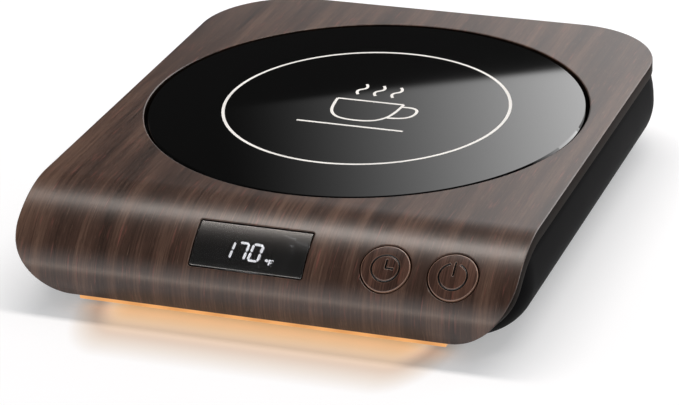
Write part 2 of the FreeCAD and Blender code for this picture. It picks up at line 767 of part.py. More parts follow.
def make_control_board():
    """The narrow board behind the front, which carries the display and the switches."""
    return local_block(-9, 3.6, -22, 50, BOARD_TOP, BOARD_TOP + BOARD_THICK)


def make_control_bracket():
    """The plastic rail that hangs the control board from the frame."""
    rail = local_block(-9, -6.5, -31, 50, BOARD_TOP - 1.5, BOARD_TOP)
    pieces = [rail]
    for x in BRACKET_X:
        pieces.append(box(x - 3, x + 3, -55, -48.6, UNDERSIDE - 4.6, UNDERSIDE - 3.3))
        pieces.append(box(x - 3, x + 3, -55.2, -53.6, 16.5, UNDERSIDE - 3.3))
    bracket = fused(pieces)
    for x in BRACKET_X:
        bracket = bracket.cut(rod(1.2, 10, 25, x, BRACKET_Y))
    return bracket


def make_control_screws():
    """Two short screws that hold the bracket to the frame."""
    return group(
        screw(x, BRACKET_Y, UNDERSIDE - 5.8, UNDERSIDE - 4.6, 1.8, 0.95, UNDERSIDE - 1.6)
        for x in BRACKET_X
    )


def make_display_window():
    """The smoked window that follows the curve of the front."""
    block = display_block(DISPLAY_HEIGHT, DISPLAY_WIDTH, -3, 6, 0.5)
    return block.common(under_skin(0.1)).cut(under_skin(1.5))


def make_display_frame():
    """The black frame behind the window, with a flange inside the cover."""
    plug = display_block(DISPLAY_HEIGHT, DISPLAY_WIDTH, -1, 6.3, 0.5)
    flange = display_block(DISPLAY_HEIGHT + 3, DISPLAY_WIDTH + 3, -1, 6.3, 1)
    plug = plug.common(under_skin(1.5))
    flange = flange.common(under_skin(SHEET + 0.1))
    hole = display_block(DISPLAY_HEIGHT - 1.8, DISPLAY_WIDTH - 1.8, -3, 9, 0.3)
    return fused([plug, flange]).cut(hole)


MODULE_FACE = 2.7


def make_display_module():
    """The black block that holds the display's light cells, on the control board."""
    x0 = DISPLAY_LEFT + 1.1
    x1 = DISPLAY_RIGHT - 1.1
    u = DISPLAY_RUN - BUTTON_RUN
    block = local_block(u - 3.9, u + 3.9, x0, x1, MODULE_FACE, BOARD_TOP)
    return block


DIGIT_HEIGHT = 3.95
DIGIT_WIDTH = 2.15
DIGIT_STROKE = 0.5
DIGIT_SLANT = 8.0
DIGIT_PITCH = 3.2
DIGIT_THICK = 0.2
DIGIT_DROP = 0.25
FIRST_DIGIT_X = -8.27
UNIT_X = 0.9
UNIT_TOP = -1.15
UNIT_HEIGHT = 1.3
UNIT_STROKE = 0.2
SEGMENTS = {"1": "bc", "7": "abc", "0": "abcdef"}


def bar(x0, y0, x1, y1, stroke):
    """One lit bar with pointed ends, between two points on the display's face."""
    a = V(x0, y0, 0)
    b = V(x1, y1, 0)
    along = b.sub(a)
    along.normalize()
    side = Z.cross(along) * (stroke / 2)
    nose = along * (stroke / 2)
    gap = along * 0.08
    a = a + gap
    b = b - gap
    points = [a, a + nose + side, b - nose + side, b, b - nose - side, a + nose - side, a]
    return Part.Face(Part.makePolygon(points)).extrude(V(0, 0, DIGIT_THICK))


def digit(name, x):
    """The lit bars of one number, leaning to the right."""
    lean = math.tan(math.radians(DIGIT_SLANT))
    h = DIGIT_HEIGHT / 2
    w = DIGIT_WIDTH / 2

    def at(i, j):
        return x + i * w + j * h * lean, j * h

    ends = {
        "a": (at(-1, 1), at(1, 1)),
        "b": (at(1, 1), at(1, 0)),
        "c": (at(1, 0), at(1, -1)),
        "d": (at(1, -1), at(-1, -1)),
        "e": (at(-1, -1), at(-1, 0)),
        "f": (at(-1, 0), at(-1, 1)),
    }
    return [bar(*ends[s][0], *ends[s][1], DIGIT_STROKE) for s in SEGMENTS[name]]


def make_display_digits():
    """The lit number 170 and the small degree mark with its letter."""
    marks = []
    for i, name in enumerate("170"):
        marks += digit(name, FIRST_DIGIT_X + i * DIGIT_PITCH)
    ring_r = UNIT_STROKE * 1.6
    ring = tube(
        ring_r - UNIT_STROKE * 0.8, ring_r, 0, DIGIT_THICK, UNIT_X, UNIT_TOP - ring_r
    )
    left = UNIT_X + 0.5
    low = UNIT_TOP - UNIT_HEIGHT
    middle = UNIT_TOP - UNIT_HEIGHT / 2
    stem = box(left, left + UNIT_STROKE, low, UNIT_TOP, 0, DIGIT_THICK)
    arms = [
        box(left, left + 0.8, UNIT_TOP - UNIT_STROKE, UNIT_TOP, 0, DIGIT_THICK),
        box(left, left + 0.65, middle - UNIT_STROKE, middle, 0, DIGIT_THICK),
    ]
    marks += [ring, fused([stem] + arms)]
    u = DISPLAY_RUN - BUTTON_RUN + DIGIT_DROP
    return group(
        on_front(mark, BUTTON_RUN, 0, MODULE_FACE).translated(
            front_place(BUTTON_RUN).Rotation.multVec(V(0, -u, 0))
        )
        for mark in marks
    )


SYMBOL_R = 3.35
SYMBOL_STROKE = 0.4
SYMBOL_DEPTH = 0.25


def groove(x0, y0, x1, y1):
    """A straight cut with round ends, as wide as the symbols' stroke."""
    r = SYMBOL_STROKE / 2
    length = math.hypot(x1 - x0, y1 - y0)
    slot = rounded_block(0, length + 2 * r, -r, r, -4, 4, r * 0.98)
    slot.translate(V(-r, 0, 0))
    slot.rotate(V(0, 0, 0), Z, math.degrees(math.atan2(y1 - y0, x1 - x0)))
    slot.translate(V(x0, y0, 0))
    return slot


def clock_cutters():
    """A clock: a ring with one hand up and one to the right."""
    r = SYMBOL_STROKE / 2
    ring = tube(SYMBOL_R - r, SYMBOL_R + r, -4, 4)
    return [ring, groove(0, 0, 0, 2.0), groove(0, 0, 1.7, 0)]


def standby_cutters():
    """The standby sign: a ring with a gap at its top and a bar in the gap."""
    r = SYMBOL_STROKE / 2
    ring = tube(SYMBOL_R - r, SYMBOL_R + r, -4, 4)
    ring = ring.cut(box(-1.35, 1.35, 0, 5, -5, 5))
    return [ring, groove(0, 0.3, 0, 3.4)]


def make_button(x, cutters):
    """A round cap that follows the front's curve, with a flange, a stem and its symbol."""
    cap = local_rod(BUTTON_R, x, -3, FLANGE_DEPTH)
    flange = local_rod(FLANGE_R, x, 0, FLANGE_DEPTH).common(under_skin(SHEET + 0.1))
    cap = cap.common(under_skin(-BUTTON_PROUD))
    stem = local_rod(STEM_R, x, FLANGE_DEPTH - 0.5, PLUNGER_TOP)
    button = fused([cap, flange, stem])
    deep = under_skin(SYMBOL_DEPTH - BUTTON_PROUD)
    for cutter in cutters:
        button = button.cut(on_front(cutter, BUTTON_RUN, x).cut(deep))
    return button


def make_plunger(x):
    """The moving core of one push switch."""
    return local_rod(PLUNGER_R, x, PLUNGER_TOP, PLUNGER_END)


def make_switch(x):
    """The fixed body of one push switch on the control board."""
    body = local_block(-3, 3, x - 3, x + 3, SWITCH_TOP, BOARD_TOP)
    hole = local_rod(PLUNGER_R + PLUNGER_CLEARANCE, x, SWITCH_TOP - 1, SWITCH_CAVITY_END)
    return body.cut(hole)


def make_light_bar():
    """The amber light bar under the front lip, with a tongue into the toe."""
    bar_block = box(-BAR_HALF, BAR_HALF, BAR_FRONT, TOE_FRONT, BAR_BOTTOM, BAR_TOP)
    edges = [
        e
        for e in bar_block.Edges
        if e.BoundBox.YMax < BAR_FRONT + 0.01 and e.BoundBox.XLength > 1
    ]
    bar_block = bar_block.makeFillet(0.6, edges)
    tongue = box(-40.2, 40.2, TOE_FRONT, TOE_FRONT + 1.8, BAR_BOTTOM + 1.0, BAR_TOP - 0.3)
    return fused([bar_block, tongue])


LED_BOARD_Y = -62.9


def make_light_board():
    """The upright strip board behind the light bar."""
    return box(-41, 41, LED_BOARD_Y, LED_BOARD_Y + 1, TRAY_BOTTOM + 1.2, 6.9)


def make_light_diodes():
    """The amber light diodes along the strip."""
    return group(
        box(x - 1.5, x + 1.5, LED_BOARD_Y - 1, LED_BOARD_Y, 3.4, 4.8)
        for x in (-35.0, -25.0, -15.0, -5.0, 5.0, 15.0, 25.0, 35.0)
    )


def lead(points, r, section=None):
    """A lead along straight runs that are joined by arcs as large as the runs allow."""
    points = [V(*p) for p in points]
    edges = []
    start = points[0]
    for before, at, after in zip(points, points[1:], points[2:]):
        into = at.sub(before)
        out = after.sub(at)
        reach = 0.45 * min(into.Length, out.Length)
        into.normalize()
        out.normalize()
        radius = reach / math.tan(into.getAngle(out) / 2)
        a = at - into * reach
        b = at + out * reach
        centre = a + (out - into * into.dot(out)).normalize() * radius
        towards = (at - centre).normalize()
        edges.append(Part.LineSegment(start, a).toShape())
        edges.append(Part.Arc(a, centre + towards * radius, b).toShape())
        start = b
    edges.append(Part.LineSegment(start, points[-1]).toShape())
    first = points[1].sub(points[0])
    if section is None:
        section = Part.Wire([Part.makeCircle(r, points[0], first)])
    return Part.Wire(edges).makePipeShell([section], True, False)


LEAD_R = 0.6
PLUG_Y = PCB_FRONT + 2.5
PLUG_Z = PCB_TOP + 2.2
CREEP_Z = FLOOR + 1.2


def make_heater_leads():
    """Two leads that rise from the board behind the dish to the heater's tabs."""
    z = ELEMENT_BOTTOM + ELEMENT_THICK / 2
    return group(
        lead([(x, 47.6, PCB_TOP), (x, 47.6, 11.5), (x, 48.3, z), (x, 44.5, z)], LEAD_R)
        for x in (-5.0, 5.0)
    )


def make_sensor_leads():
    """Two leads from the board to the underside of the temperature sensor."""
    leads = []
    for side in (-1, 1):
        x = HEADER_X[1] + side * 1.1
        foot = RETAINER_BOTTOM - 1.2
        route = [
            (x, PLUG_Y, PLUG_Z),
            (x, 20.0, PLUG_Z),
            (x + 4, 13.0, 7.2),
            (side * 1.1, PLATE_Y, 6.6),
            (side * 1.1, PLATE_Y, foot),
        ]
        leads.append(lead(route, LEAD_R))
    return group(leads)


def make_fuse_leads():
    """A lead from each end of the thermal fuse to the board."""
    z = RETAINER_BOTTOM - FUSE_R
    leads = []
    for side, x in ((-1, HEADER_X[0]), (1, HEADER_X[3])):
        bow = (side * 9.5 + x) / 2
        route = [
            (side * 9.5, FUSE_Y, z),
            (bow, FUSE_Y, z),
            (x, 19.0, PLUG_Z),
            (x, PLUG_Y, PLUG_Z),
        ]
        leads.append(lead(route, LEAD_R))
    return group(leads)


def make_light_leads():
    """Two leads that run along the floor from the board to the light strip."""
    leads = []
    for side in (-1, 1):
        x = HEADER_X[4] + side * 1.1
        route = [
            (x, PLUG_Y, PLUG_Z),
            (x, 20.0, PLUG_Z),
            (x + 1, 10.0, CREEP_Z),
            (x + 3, -12.0, CREEP_Z),
            (x + 1.5, -36.0, CREEP_Z),
            (x, -52.0, CREEP_Z),
            (x, LED_BOARD_Y + 1, CREEP_Z),
        ]
        leads.append(lead(route, LEAD_R))
    return group(leads)


RIBBON_HALF = 2.4
RIBBON_THICK = 0.7


def make_display_ribbon():
    """The flat cable from the power board, along the floor, up to the control board."""
    x = HEADER_X[2]
    meet = skin_point(BUTTON_RUN, BOARD_TOP + BOARD_THICK, x) + skin_slope(BUTTON_RUN) * -3
    below = meet - skin_normal(skin_angle(BUTTON_RUN)) * 4
    route = [
        (x, PLUG_Y, PLUG_Z),
        (x, 20.0, PLUG_Z),
        (x, 9.0, CREEP_Z),
        (x, -40.0, CREEP_Z),
        tuple(below),
        tuple(meet),
    ]
    corners = [
        V(x + i * RIBBON_HALF, PLUG_Y, PLUG_Z + j * RIBBON_THICK / 2)
        for i, j in ((-1, -1), (1, -1), (1, 1), (-1, 1), (-1, -1))
    ]
    return lead(route, 0, Part.makePolygon(corners))


NODES = {}


def add(name, shape):
    """Keeps one piece under its name."""
    NODES[name] = shape


def build():
    """Makes every piece."""
    add("top_cover", make_top_cover())
    add("lower_tray", make_lower_tray())
    add("inner_frame", make_inner_frame())
    add("glass_plate", make_glass_plate())
    add("glass_seal", make_glass_seal())
    add("heat_spreader", make_heat_spreader())
    add("heating_element", make_heating_element())
    add("insulation_pad", make_insulation_pad())
    add("heater_retainer", make_heater_retainer())
    add("retainer_screws", make_retainer_screws())
    add("temperature_sensor", make_sensor())
    add("thermal_fuse", make_thermal_fuse())
    add("thermal_fuse_clip", make_fuse_clip())
    add("case_screws", make_case_screws())
    add("rubber_feet", make_rubber_feet())
    add("power_board", make_power_board())
    add("board_screws", make_board_screws())
    add("power_socket_body", make_socket_body())
    add("power_socket_pin", make_socket_pin())
    add("power_socket_contact", make_socket_contact())
    add("capacitors", make_capacitors())
    add("choke", make_choke())
    add("heater_transistor", make_transistor())
    add("buzzer", make_buzzer())
    add("board_fuse", make_board_fuse())
    add("board_chips", make_chips())
    add("lead_headers", make_headers())
    add("control_board", make_control_board())
    add("control_bracket", make_control_bracket())
    add("control_screws", make_control_screws())
    add("display_window", make_display_window())
    add("display_frame", make_display_frame())
    add("display_module", make_display_module())
    add("display_digits", make_display_digits())
    add("timer_button", make_button(TIMER_X, clock_cutters()))
    add("power_button", make_button(POWER_X, standby_cutters()))
    add("timer_plunger", make_plunger(TIMER_X))
    add("power_plunger", make_plunger(POWER_X))
    add("timer_switch", make_switch(TIMER_X))
    add("power_switch", make_switch(POWER_X))
    add("light_bar", make_light_bar())
    add("light_board", make_light_board())
    add("light_diodes", make_light_diodes())
    add("heater_leads", make_heater_leads())
    add("sensor_leads", make_sensor_leads())
    add("fuse_leads", make_fuse_leads())
    add("light_leads", make_light_leads())
    add("display_ribbon", make_display_ribbon())


def main():
    """Builds the pieces and writes one file for each."""
    build()
    for name, shape in NODES.items():
        shape.exportStep("parts/" + name + ".step")
        bb = shape.BoundBox
        print(
            name, shape.isValid(), len(shape.Solids), round(shape.Volume, 1),
            [round(v, 2) for v in (bb.XMin, bb.XMax, bb.YMin, bb.YMax, bb.ZMin, bb.ZMax)],
        )


main()
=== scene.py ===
"""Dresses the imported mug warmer: wood cover, glass hot plate, display, buttons, tray and light bar."""

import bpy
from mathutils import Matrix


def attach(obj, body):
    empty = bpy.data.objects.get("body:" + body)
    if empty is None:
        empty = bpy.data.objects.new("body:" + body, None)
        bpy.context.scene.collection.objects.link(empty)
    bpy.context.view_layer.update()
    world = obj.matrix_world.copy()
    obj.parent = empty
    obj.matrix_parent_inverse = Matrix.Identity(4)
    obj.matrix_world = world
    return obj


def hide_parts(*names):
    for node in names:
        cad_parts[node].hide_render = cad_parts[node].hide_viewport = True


bl_info = {
    "name": "Mug Warmer",
    "version": (1, 0, 0),
    "blender": (4, 5, 0),
    "location": "View3D > Sidebar > Mug Warmer",
    "description": "Builds the looks of a desk mug warmer round its packed model",
    "category": "Add Mesh",
}

import math

import bmesh
import bpy
from bpy.props import FloatProperty, PointerProperty
from mathutils import Matrix, Vector

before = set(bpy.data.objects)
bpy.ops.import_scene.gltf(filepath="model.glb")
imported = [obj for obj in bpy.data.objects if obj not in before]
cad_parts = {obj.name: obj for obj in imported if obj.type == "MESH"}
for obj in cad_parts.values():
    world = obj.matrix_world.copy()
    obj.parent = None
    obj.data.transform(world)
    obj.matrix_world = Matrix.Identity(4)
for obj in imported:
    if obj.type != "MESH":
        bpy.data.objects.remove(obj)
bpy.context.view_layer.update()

MM = 0.001
BODY = "base"

# The cover, in millimetres. A run is a length along the sheet from where its bend starts.
COVER_TOP = 25.0
SHEET = 3.0
HALF_WIDTH = 60.0
BACK = 71.8
BEND_START = -49.6
BEND_RADIUS = 26.0
BEND_ANGLE = math.radians(45.0)
BEND_FLAT = 1.5
CURL_RADIUS = 10.5
CURL_ANGLE = math.radians(115.0)
BEND_RUN = BEND_RADIUS * BEND_ANGLE
FLAT_END = BEND_RUN + BEND_FLAT
LIP_RUN = FLAT_END + CURL_RADIUS * (CURL_ANGLE - BEND_ANGLE)
REAR_CORNER = 24.0
LIP_CORNER_X = 15.0
LIP_CORNER_RUN = 18.0
INNER_EASE = 0.25
FACE_DEPTH = 0.1
EASE_LIMIT = 1.0
BEND_STEPS = 30

# The glass and its opening.
PLATE_Y = 6.15
OPENING_R = 54.1
GLASS_R = 53.5
GLASS_TOP = 24.8
GLASS_THICK = 5.0
GLASS_BEVEL = 0.45
PRINT_SUNK = 0.01
PRINT_THICK = 0.025
CUP_Y = 4.65
CUP_LINE = 0.36
CUP_FLATTENED = 0.06

# The display window.
DISPLAY_RUN = 17.45
DISPLAY_X = (-16.1, 10.95)
DISPLAY_HALF = 6.0
WINDOW_SUNK = 0.1
WINDOW_THICK = 1.4
WINDOW_GAP = 0.18
WINDOW_SIDE_GAP = 0.15
WINDOW_CORNER = 0.5
HOLE_CORNER = 0.6
HOLE_MARGIN = 0.7
WINDOW_EASE = 0.3

# The buttons. Heights are from the skin, square to it.
BUTTON_X = {"timer": 29.6, "power": 45.2}
BUTTON_RUN = 18.3
BUTTON_R = 5.6
BUTTON_GAP = 0.3
CAP_PROUD = 0.2
CAP_SKIRT = -3.15
CAP_FLANGE_R = 6.8
CAP_FLANGE = -4.8
CAP_STEM_R = 1.5
CAP_FOOT = -6.0
CAP_EDGE = 0.2
CAP_RIM_FADE = -1.0
CAP_CURVED = -4.0
CAP_RINGS = 54
CAP_GRAIN = (7.3, -30.0)
SYMBOL_R = 3.2
SYMBOL_GAP = 1.3
CUT_HALF = 0.33
CUT_SLOPE = 0.2
CUT_DEPTH = 0.28
RIM_SHARE = 0.2

# The stage, in metres: the painted pool of amber light on the floor, and what the glass shows of the
# room.
PAINTED_POOL_LOW = (-0.032, -0.058, 0.0)
PAINTED_POOL_HIGH = (0.032, -0.050, 0.0)
PAINTED_POOL_SQUEEZE = (2.2, 1.0, 1.0)
PAINTED_POOL_REACH = 0.034
FLOOR_R = 6.0
TENT_R = 3.0
GLASS_EYE = (0.2294, -0.6237, -0.2583)
GLASS_LINE = (0.2067, -0.3302, 0.9210)

# The photograph's camera: degrees, millimetres from the cover's top, and pixels.
AZIMUTH = 20.65
ELEVATION = 24.583
ROLL = -2.106
CAMERA_AWAY = 721.117
CAMERA_RIGHT = -4.502
CAMERA_UP = -21.176
FOCAL_PX = 2987.9
PHOTO_WIDTH = 679
SENSOR = 36

# Walnut: the size of each pattern across and along the grain, its detail and its roughness.
GRAIN = {
    "bands": (5.0, 90.0, 3.0, 0.5),
    "streaks": (0.45, 22.0, 4.0, 0.65),
    "pores": (0.30, 3.0, 2.0, 0.5),
    "reds": (0.7, 9.0, 2.0, 0.5),
    "fibres": (0.26, 5.0, 3.0, 0.6),
}
GRAIN_WAVER = (1.8 * MM, 0.0, 0.0)
FACE_TONES = {
    "dark": "281a13",
    "mid": "443027",
    "light": "634b3e",
    "reds": "7c4a42",
    "fibres": "8a7060",
}
# The sheet's sides and underside: the walnut painted much darker, as shade.
SHADED_EDGE_TONES = {
    "dark": "120d0a",
    "mid": "1c1511",
    "light": "2a1f1a",
    "reds": "261a15",
    "fibres": "2e231d",
}
CAP_TONES = {
    "dark": "22150f",
    "mid": "453028",
    "light": "6b4c3f",
    "reds": "7c4a3e",
    "fibres": "7a5c4e",
    # rim is a painted highlight on the caps' chamfer; cut is painted shade in their grooves.
    "rim": "a58270",
    "cut": "0c0604",
}


def skin_angle(run):
    """How far the cover has turned down, in radians, at a length along its bend."""
    if run <= 0:
        return 0.0
    if run < BEND_RUN:
        return run / BEND_RADIUS
    if run < FLAT_END:
        return BEND_ANGLE
    return BEND_ANGLE + (run - FLAT_END) / CURL_RADIUS


def skin_point(run, depth=0.0, x=0.0):
    """A point on the cover's outer face, or that far under it, in millimetres."""
    angle = skin_angle(run)
    y = BEND_START
    z = COVER_TOP
    if run <= 0:
        y -= run
    elif run < BEND_RUN:
        y -= BEND_RADIUS * math.sin(angle)
        z -= BEND_RADIUS * (1 - math.cos(angle))
    else:
        flat = min(run - BEND_RUN, BEND_FLAT)
        y -= BEND_RADIUS * math.sin(BEND_ANGLE) + flat * math.cos(BEND_ANGLE)
        z -= BEND_RADIUS * (1 - math.cos(BEND_ANGLE)) + flat * math.sin(BEND_ANGLE)
        if run > FLAT_END:
            y -= CURL_RADIUS * (math.sin(angle) - math.sin(BEND_ANGLE))
            z -= CURL_RADIUS * (math.cos(BEND_ANGLE) - math.cos(angle))
    return Vector((x, y + depth * math.sin(angle), z - depth * math.cos(angle)))


def rgb(code):
    """Linear red, green, blue and alpha of an sRGB hex code."""
    parts = [int(code[i : i + 2], 16) / 255 for i in (0, 2, 4)]
    linear = [c / 12.92 if c <= 0.04045 else ((c + 0.055) / 1.055) ** 2.4 for c in parts]
    return (*linear, 1.0)


def per_mm(*sizes):
    """A pattern's scale on Object coordinates for features of these sizes in millimetres."""
    return Vector([1 / (size * MM) for size in sizes])


def add_node(tree, kind, links=None, stops=None, **settings):
    """Adds a node.

    Links are values, sockets or nodes for its inputs, where a node gives its first output.
    Stops are the colours of a ramp.
    """
    made = tree.nodes.new("ShaderNode" + kind)
    for name, value in settings.items():
        setattr(made, name, value)
    for name, value in (links or {}).items():
        socket = made.inputs[name]
        if name in ("A", "B") and kind == "Mix":
            socket = [s for s in made.inputs if s.name == name and s.type == "RGBA"][0]
        if isinstance(value, bpy.types.Node):
            value = value.outputs[0]
        if isinstance(value, bpy.types.NodeSocket):
            tree.links.new(value, socket)
        else:
            socket.default_value = value
    if stops:
        ramp = made.color_ramp
        while len(ramp.elements) < len(stops):
            ramp.elements.new(1.0)
        for element, (place, code) in zip(ramp.elements, stops):
            element.position = place
            element.color = rgb(code)
    return made


def new_material(name):
    """An empty node material with its output, and the tree to fill."""
    material = bpy.data.materials.new(name)
    material.use_nodes = True
    tree = material.node_tree
    tree.nodes.clear()
    return material, tree


def finish_material(tree, shader):
    """Joins a shader to the material's output."""
    add_node(tree, "OutputMaterial", {"Surface": shader})


def walnut(name, tones, roughness, shine=0.6):
    """Dark walnut veneer under satin lacquer.

    Broad bands follow the grain, fine streaks and short pores run along them, and a few
    red-brown streaks stand out. The grain is read from where each point lay while the sheet
    was flat, so it runs from the back to the front and on down the bend.
    """
    material, tree = new_material(name)
    place = add_node(tree, "Attribute", attribute_name="flat_place").outputs["Vector"]
    warp_map = add_node(tree, "Mapping", {"Vector": place, "Scale": per_mm(16, 60, 60)})
    warp = add_node(tree, "TexNoise", {"Vector": warp_map, "Scale": 1.0, "Detail": 2.0})
    shift = add_node(
        tree, "VectorMath", {0: warp.outputs["Color"], 1: (0.5, 0.5, 0.5)}, operation="SUBTRACT"
    )
    small = add_node(tree, "VectorMath", {0: shift, 1: GRAIN_WAVER}, operation="MULTIPLY")
    bent = add_node(tree, "VectorMath", {0: place, 1: small}, operation="ADD")
    grain = {}
    for layer, (across, along, detail, rough) in GRAIN.items():
        mapped = add_node(tree, "Mapping", {"Vector": bent, "Scale": per_mm(across, along, along)})
        noise = add_node(
            tree, "TexNoise", {"Vector": mapped, "Scale": 1.0, "Detail": detail, "Roughness": rough}
        )
        grain[layer] = noise.outputs["Fac"]
    broad = add_node(tree, "Math", {0: grain["bands"], 1: 0.6}, operation="MULTIPLY")
    tone = add_node(tree, "Math", {0: grain["streaks"], 1: 0.4, 2: broad}, operation="MULTIPLY_ADD")
    wood = add_node(
        tree,
        "ValToRGB",
        {"Fac": tone},
        stops=[(0.36, tones["dark"]), (0.50, tones["mid"]), (0.64, tones["light"])],
    )
    colour = wood.outputs["Color"]
    marks = (
        ("reds", 0.62, 0.74, 0.6, tones["reds"]),
        ("pores", 0.56, 0.68, 0.3, tones["dark"]),
        ("fibres", 0.6, 0.74, 0.4, tones["fibres"]),
    )
    for layer, start, full, most, code in marks:
        share = add_node(
            tree,
            "MapRange",
            {"Value": grain[layer], "From Min": start, "From Max": full, "To Max": most},
        )
        mixed = add_node(
            tree, "Mix", {"Factor": share, "A": colour, "B": rgb(code)}, data_type="RGBA"
        )
        colour = mixed.outputs[2]
    # The cut attribute paints a highlight on the chamfer and shade in the grooves.
    if "cut" in tones:
        depth = add_node(tree, "Attribute", attribute_name="cut").outputs["Fac"]
        share = add_node(tree, "MapRange", {"Value": depth, "From Max": RIM_SHARE})
        stops = [(RIM_SHARE, tones["rim"]), (0.5, tones["cut"])]
        painted_highlight_and_shade = add_node(tree, "ValToRGB", {"Fac": depth}, stops=stops)
        mixed = add_node(
            tree,
            "Mix",
            {"Factor": share, "A": colour, "B": painted_highlight_and_shade.outputs["Color"]},
            data_type="RGBA",
        )
        colour = mixed.outputs[2]
    bump = add_node(
        tree, "Bump", {"Strength": 0.25, "Distance": 0.03 * MM, "Height": grain["streaks"]}
    )
    gloss = add_node(
        tree,
        "MapRange",
        {"Value": grain["streaks"], "To Min": roughness - 0.06, "To Max": roughness + 0.08},
    )
    shader = add_node(
        tree,
        "BsdfPrincipled",
        {"Base Color": colour, "Roughness": gloss, "Normal": bump, "Specular IOR Level": shine},
    )
    finish_material(tree, shader)
    return material


def moulded(name, code, roughness, grit=0.35, depth=0.02, shine=0.5):
    """Moulded plastic, rubber or fibre: one tone with slight mottling and a fine grain."""
    material, tree = new_material(name)
    place = add_node(tree, "TexCoord").outputs["Object"]
    fine_map = add_node(tree, "Mapping", {"Vector": place, "Scale": per_mm(grit, grit, grit)})
    fine = add_node(tree, "TexNoise", {"Vector": fine_map, "Scale": 1.0, "Detail": 2.0})
    broad_map = add_node(tree, "Mapping", {"Vector": place, "Scale": per_mm(14, 14, 14)})
    broad = add_node(tree, "TexNoise", {"Vector": broad_map, "Scale": 1.0, "Detail": 3.0})
    mottle = broad.outputs["Fac"]
    level = add_node(
        tree,
        "MapRange",
        {"Value": mottle, "From Min": 0.3, "From Max": 0.7, "To Min": 0.88, "To Max": 1.12},
    )
    colour = add_node(tree, "VectorMath", {0: rgb(code)[:3], "Scale": level}, operation="SCALE")
    gloss = add_node(
        tree,
        "MapRange",
        {"Value": mottle, "To Min": max(0.02, roughness - 0.05), "To Max": roughness + 0.05},
    )
    bump = add_node(
        tree, "Bump", {"Strength": 0.3, "Distance": depth * MM, "Height": fine.outputs["Fac"]}
    )
    shader = add_node(
        tree,
        "BsdfPrincipled",
        {"Base Color": colour, "Roughness": gloss, "Specular IOR Level": shine, "Normal": bump},
    )
    finish_material(tree, shader)
    return material


def metal(name, code, roughness):
    """Bare or plated metal with fine drawn lines."""
    material, tree = new_material(name)
    place = add_node(tree, "TexCoord").outputs["Object"]
    mapped = add_node(tree, "Mapping", {"Vector": place, "Scale": per_mm(0.2, 6, 6)})
    lines = add_node(tree, "TexNoise", {"Vector": mapped, "Scale": 1.0, "Detail": 3.0})
    drawn = lines.outputs["Fac"]
    gloss = add_node(
        tree,
        "MapRange",
        {"Value": drawn, "To Min": max(0.03, roughness - 0.1), "To Max": roughness + 0.12},
    )
    bump = add_node(tree, "Bump", {"Strength": 0.15, "Distance": 0.01 * MM, "Height": drawn})
    shader = add_node(
        tree,
        "BsdfPrincipled",
        {"Base Color": rgb(code), "Metallic": 1.0, "Roughness": gloss, "Normal": bump},
    )
    finish_material(tree, shader)
    return material


def polished(name, haze_size, low, high, looks):
    """A polished sheet whose shine wavers a little. Looks are the shader's other inputs."""
    material, tree = new_material(name)
    place = add_node(tree, "TexCoord").outputs["Object"]
    mapped = add_node(
        tree, "Mapping", {"Vector": place, "Scale": per_mm(haze_size, haze_size, haze_size)}
    )
    haze = add_node(tree, "TexNoise", {"Vector": mapped, "Scale": 1.0, "Detail": 2.0})
    gloss = add_node(
        tree, "MapRange", {"Value": haze.outputs["Fac"], "To Min": low, "To Max": high}
    )
    shader = add_node(tree, "BsdfPrincipled", {"Roughness": gloss, **looks})
    finish_material(tree, shader)
    return material


def black_glass():
    """Black ceramic glass: almost no colour of its own, and the room shows in it as in a mirror."""
    looks = {"Base Color": rgb("030303"), "IOR": 1.5}
    return polished("black_ceramic_glass", 40, 0.012, 0.03, looks)


def smoked_acrylic():
    """Smoked acrylic: clear and dark, so lit figures show through it, with a soft sheen on top."""
    looks = {
        "Base Color": rgb("4c4c4e"),
        "IOR": 1.49,
        "Transmission Weight": 1.0,
        "Coat Weight": 1.0,
        "Coat Roughness": 0.3,
        "Coat IOR": 1.8,
    }
    return polished("smoked_acrylic", 20, 0.01, 0.03, looks)


def lit(name, code, glow, strength, pitch=8.0, dip=0.03):
    """A lit diffuser, dimmer by the share dip between diodes that stand pitch millimetres apart."""
    material, tree = new_material(name)
    place = add_node(tree, "TexCoord").outputs["Object"]
    wave = add_node(
        tree,
        "TexWave",
        {"Vector": place, "Scale": 0.314 / (pitch * MM), "Distortion": 0.0},
        bands_direction="X",
    )
    level = add_node(
        tree,
        "MapRange",
        {"Value": wave.outputs["Fac"], "To Min": strength * (1 - dip), "To Max": strength},
    )
    shader = add_node(
        tree,
        "BsdfPrincipled",
        {
            "Base Color": rgb(code),
            "Roughness": 0.35,
            "Emission Color": rgb(glow),
            "Emission Strength": level,
        },
    )
    finish_material(tree, shader)
    return material


def seen_by(tree, *rays):
    """One where a ray of any of these kinds meets the surface, and nought elsewhere."""
    path = add_node(tree, "LightPath")
    met = path.outputs[rays[0]]
    for ray in rays[1:]:
        met = add_node(tree, "Math", {0: met, 1: path.outputs[ray]}, operation="MAXIMUM")
    return met


def merged_copy(node, piece):
    """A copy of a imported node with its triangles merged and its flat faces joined.

    It stands for the node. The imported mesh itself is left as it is.
    """
    shape = bmesh.new()
    shape.from_mesh(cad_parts[node].data)
    bmesh.ops.remove_doubles(shape, verts=shape.verts, dist=1e-6)
    bmesh.ops.dissolve_limit(
        shape, angle_limit=math.radians(0.4), verts=shape.verts, edges=shape.edges
    )
    made = keep_mesh(shape, piece)
    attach(made, BODY)
    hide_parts(node)
    return made


def keep_mesh(shape, piece, smooth=35):
    """Turns a bmesh into an object that is smooth up to an angle."""
    mesh = bpy.data.meshes.new(piece)
    shape.to_mesh(mesh)
    shape.free()
    mesh.polygons.foreach_set("use_smooth", [True] * len(mesh.polygons))
    mesh.set_sharp_from_angle(angle=math.radians(smooth))
    made = bpy.data.objects.new(piece, mesh)
    bpy.context.scene.collection.objects.link(made)
    return made


def paint(made, *materials):
    """Gives an object its materials in order."""
    made.data.materials.clear()
    for material in materials:
        made.data.materials.append(material)


def paint_node(name, material):
    """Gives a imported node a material."""
    paint(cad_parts[name], material)


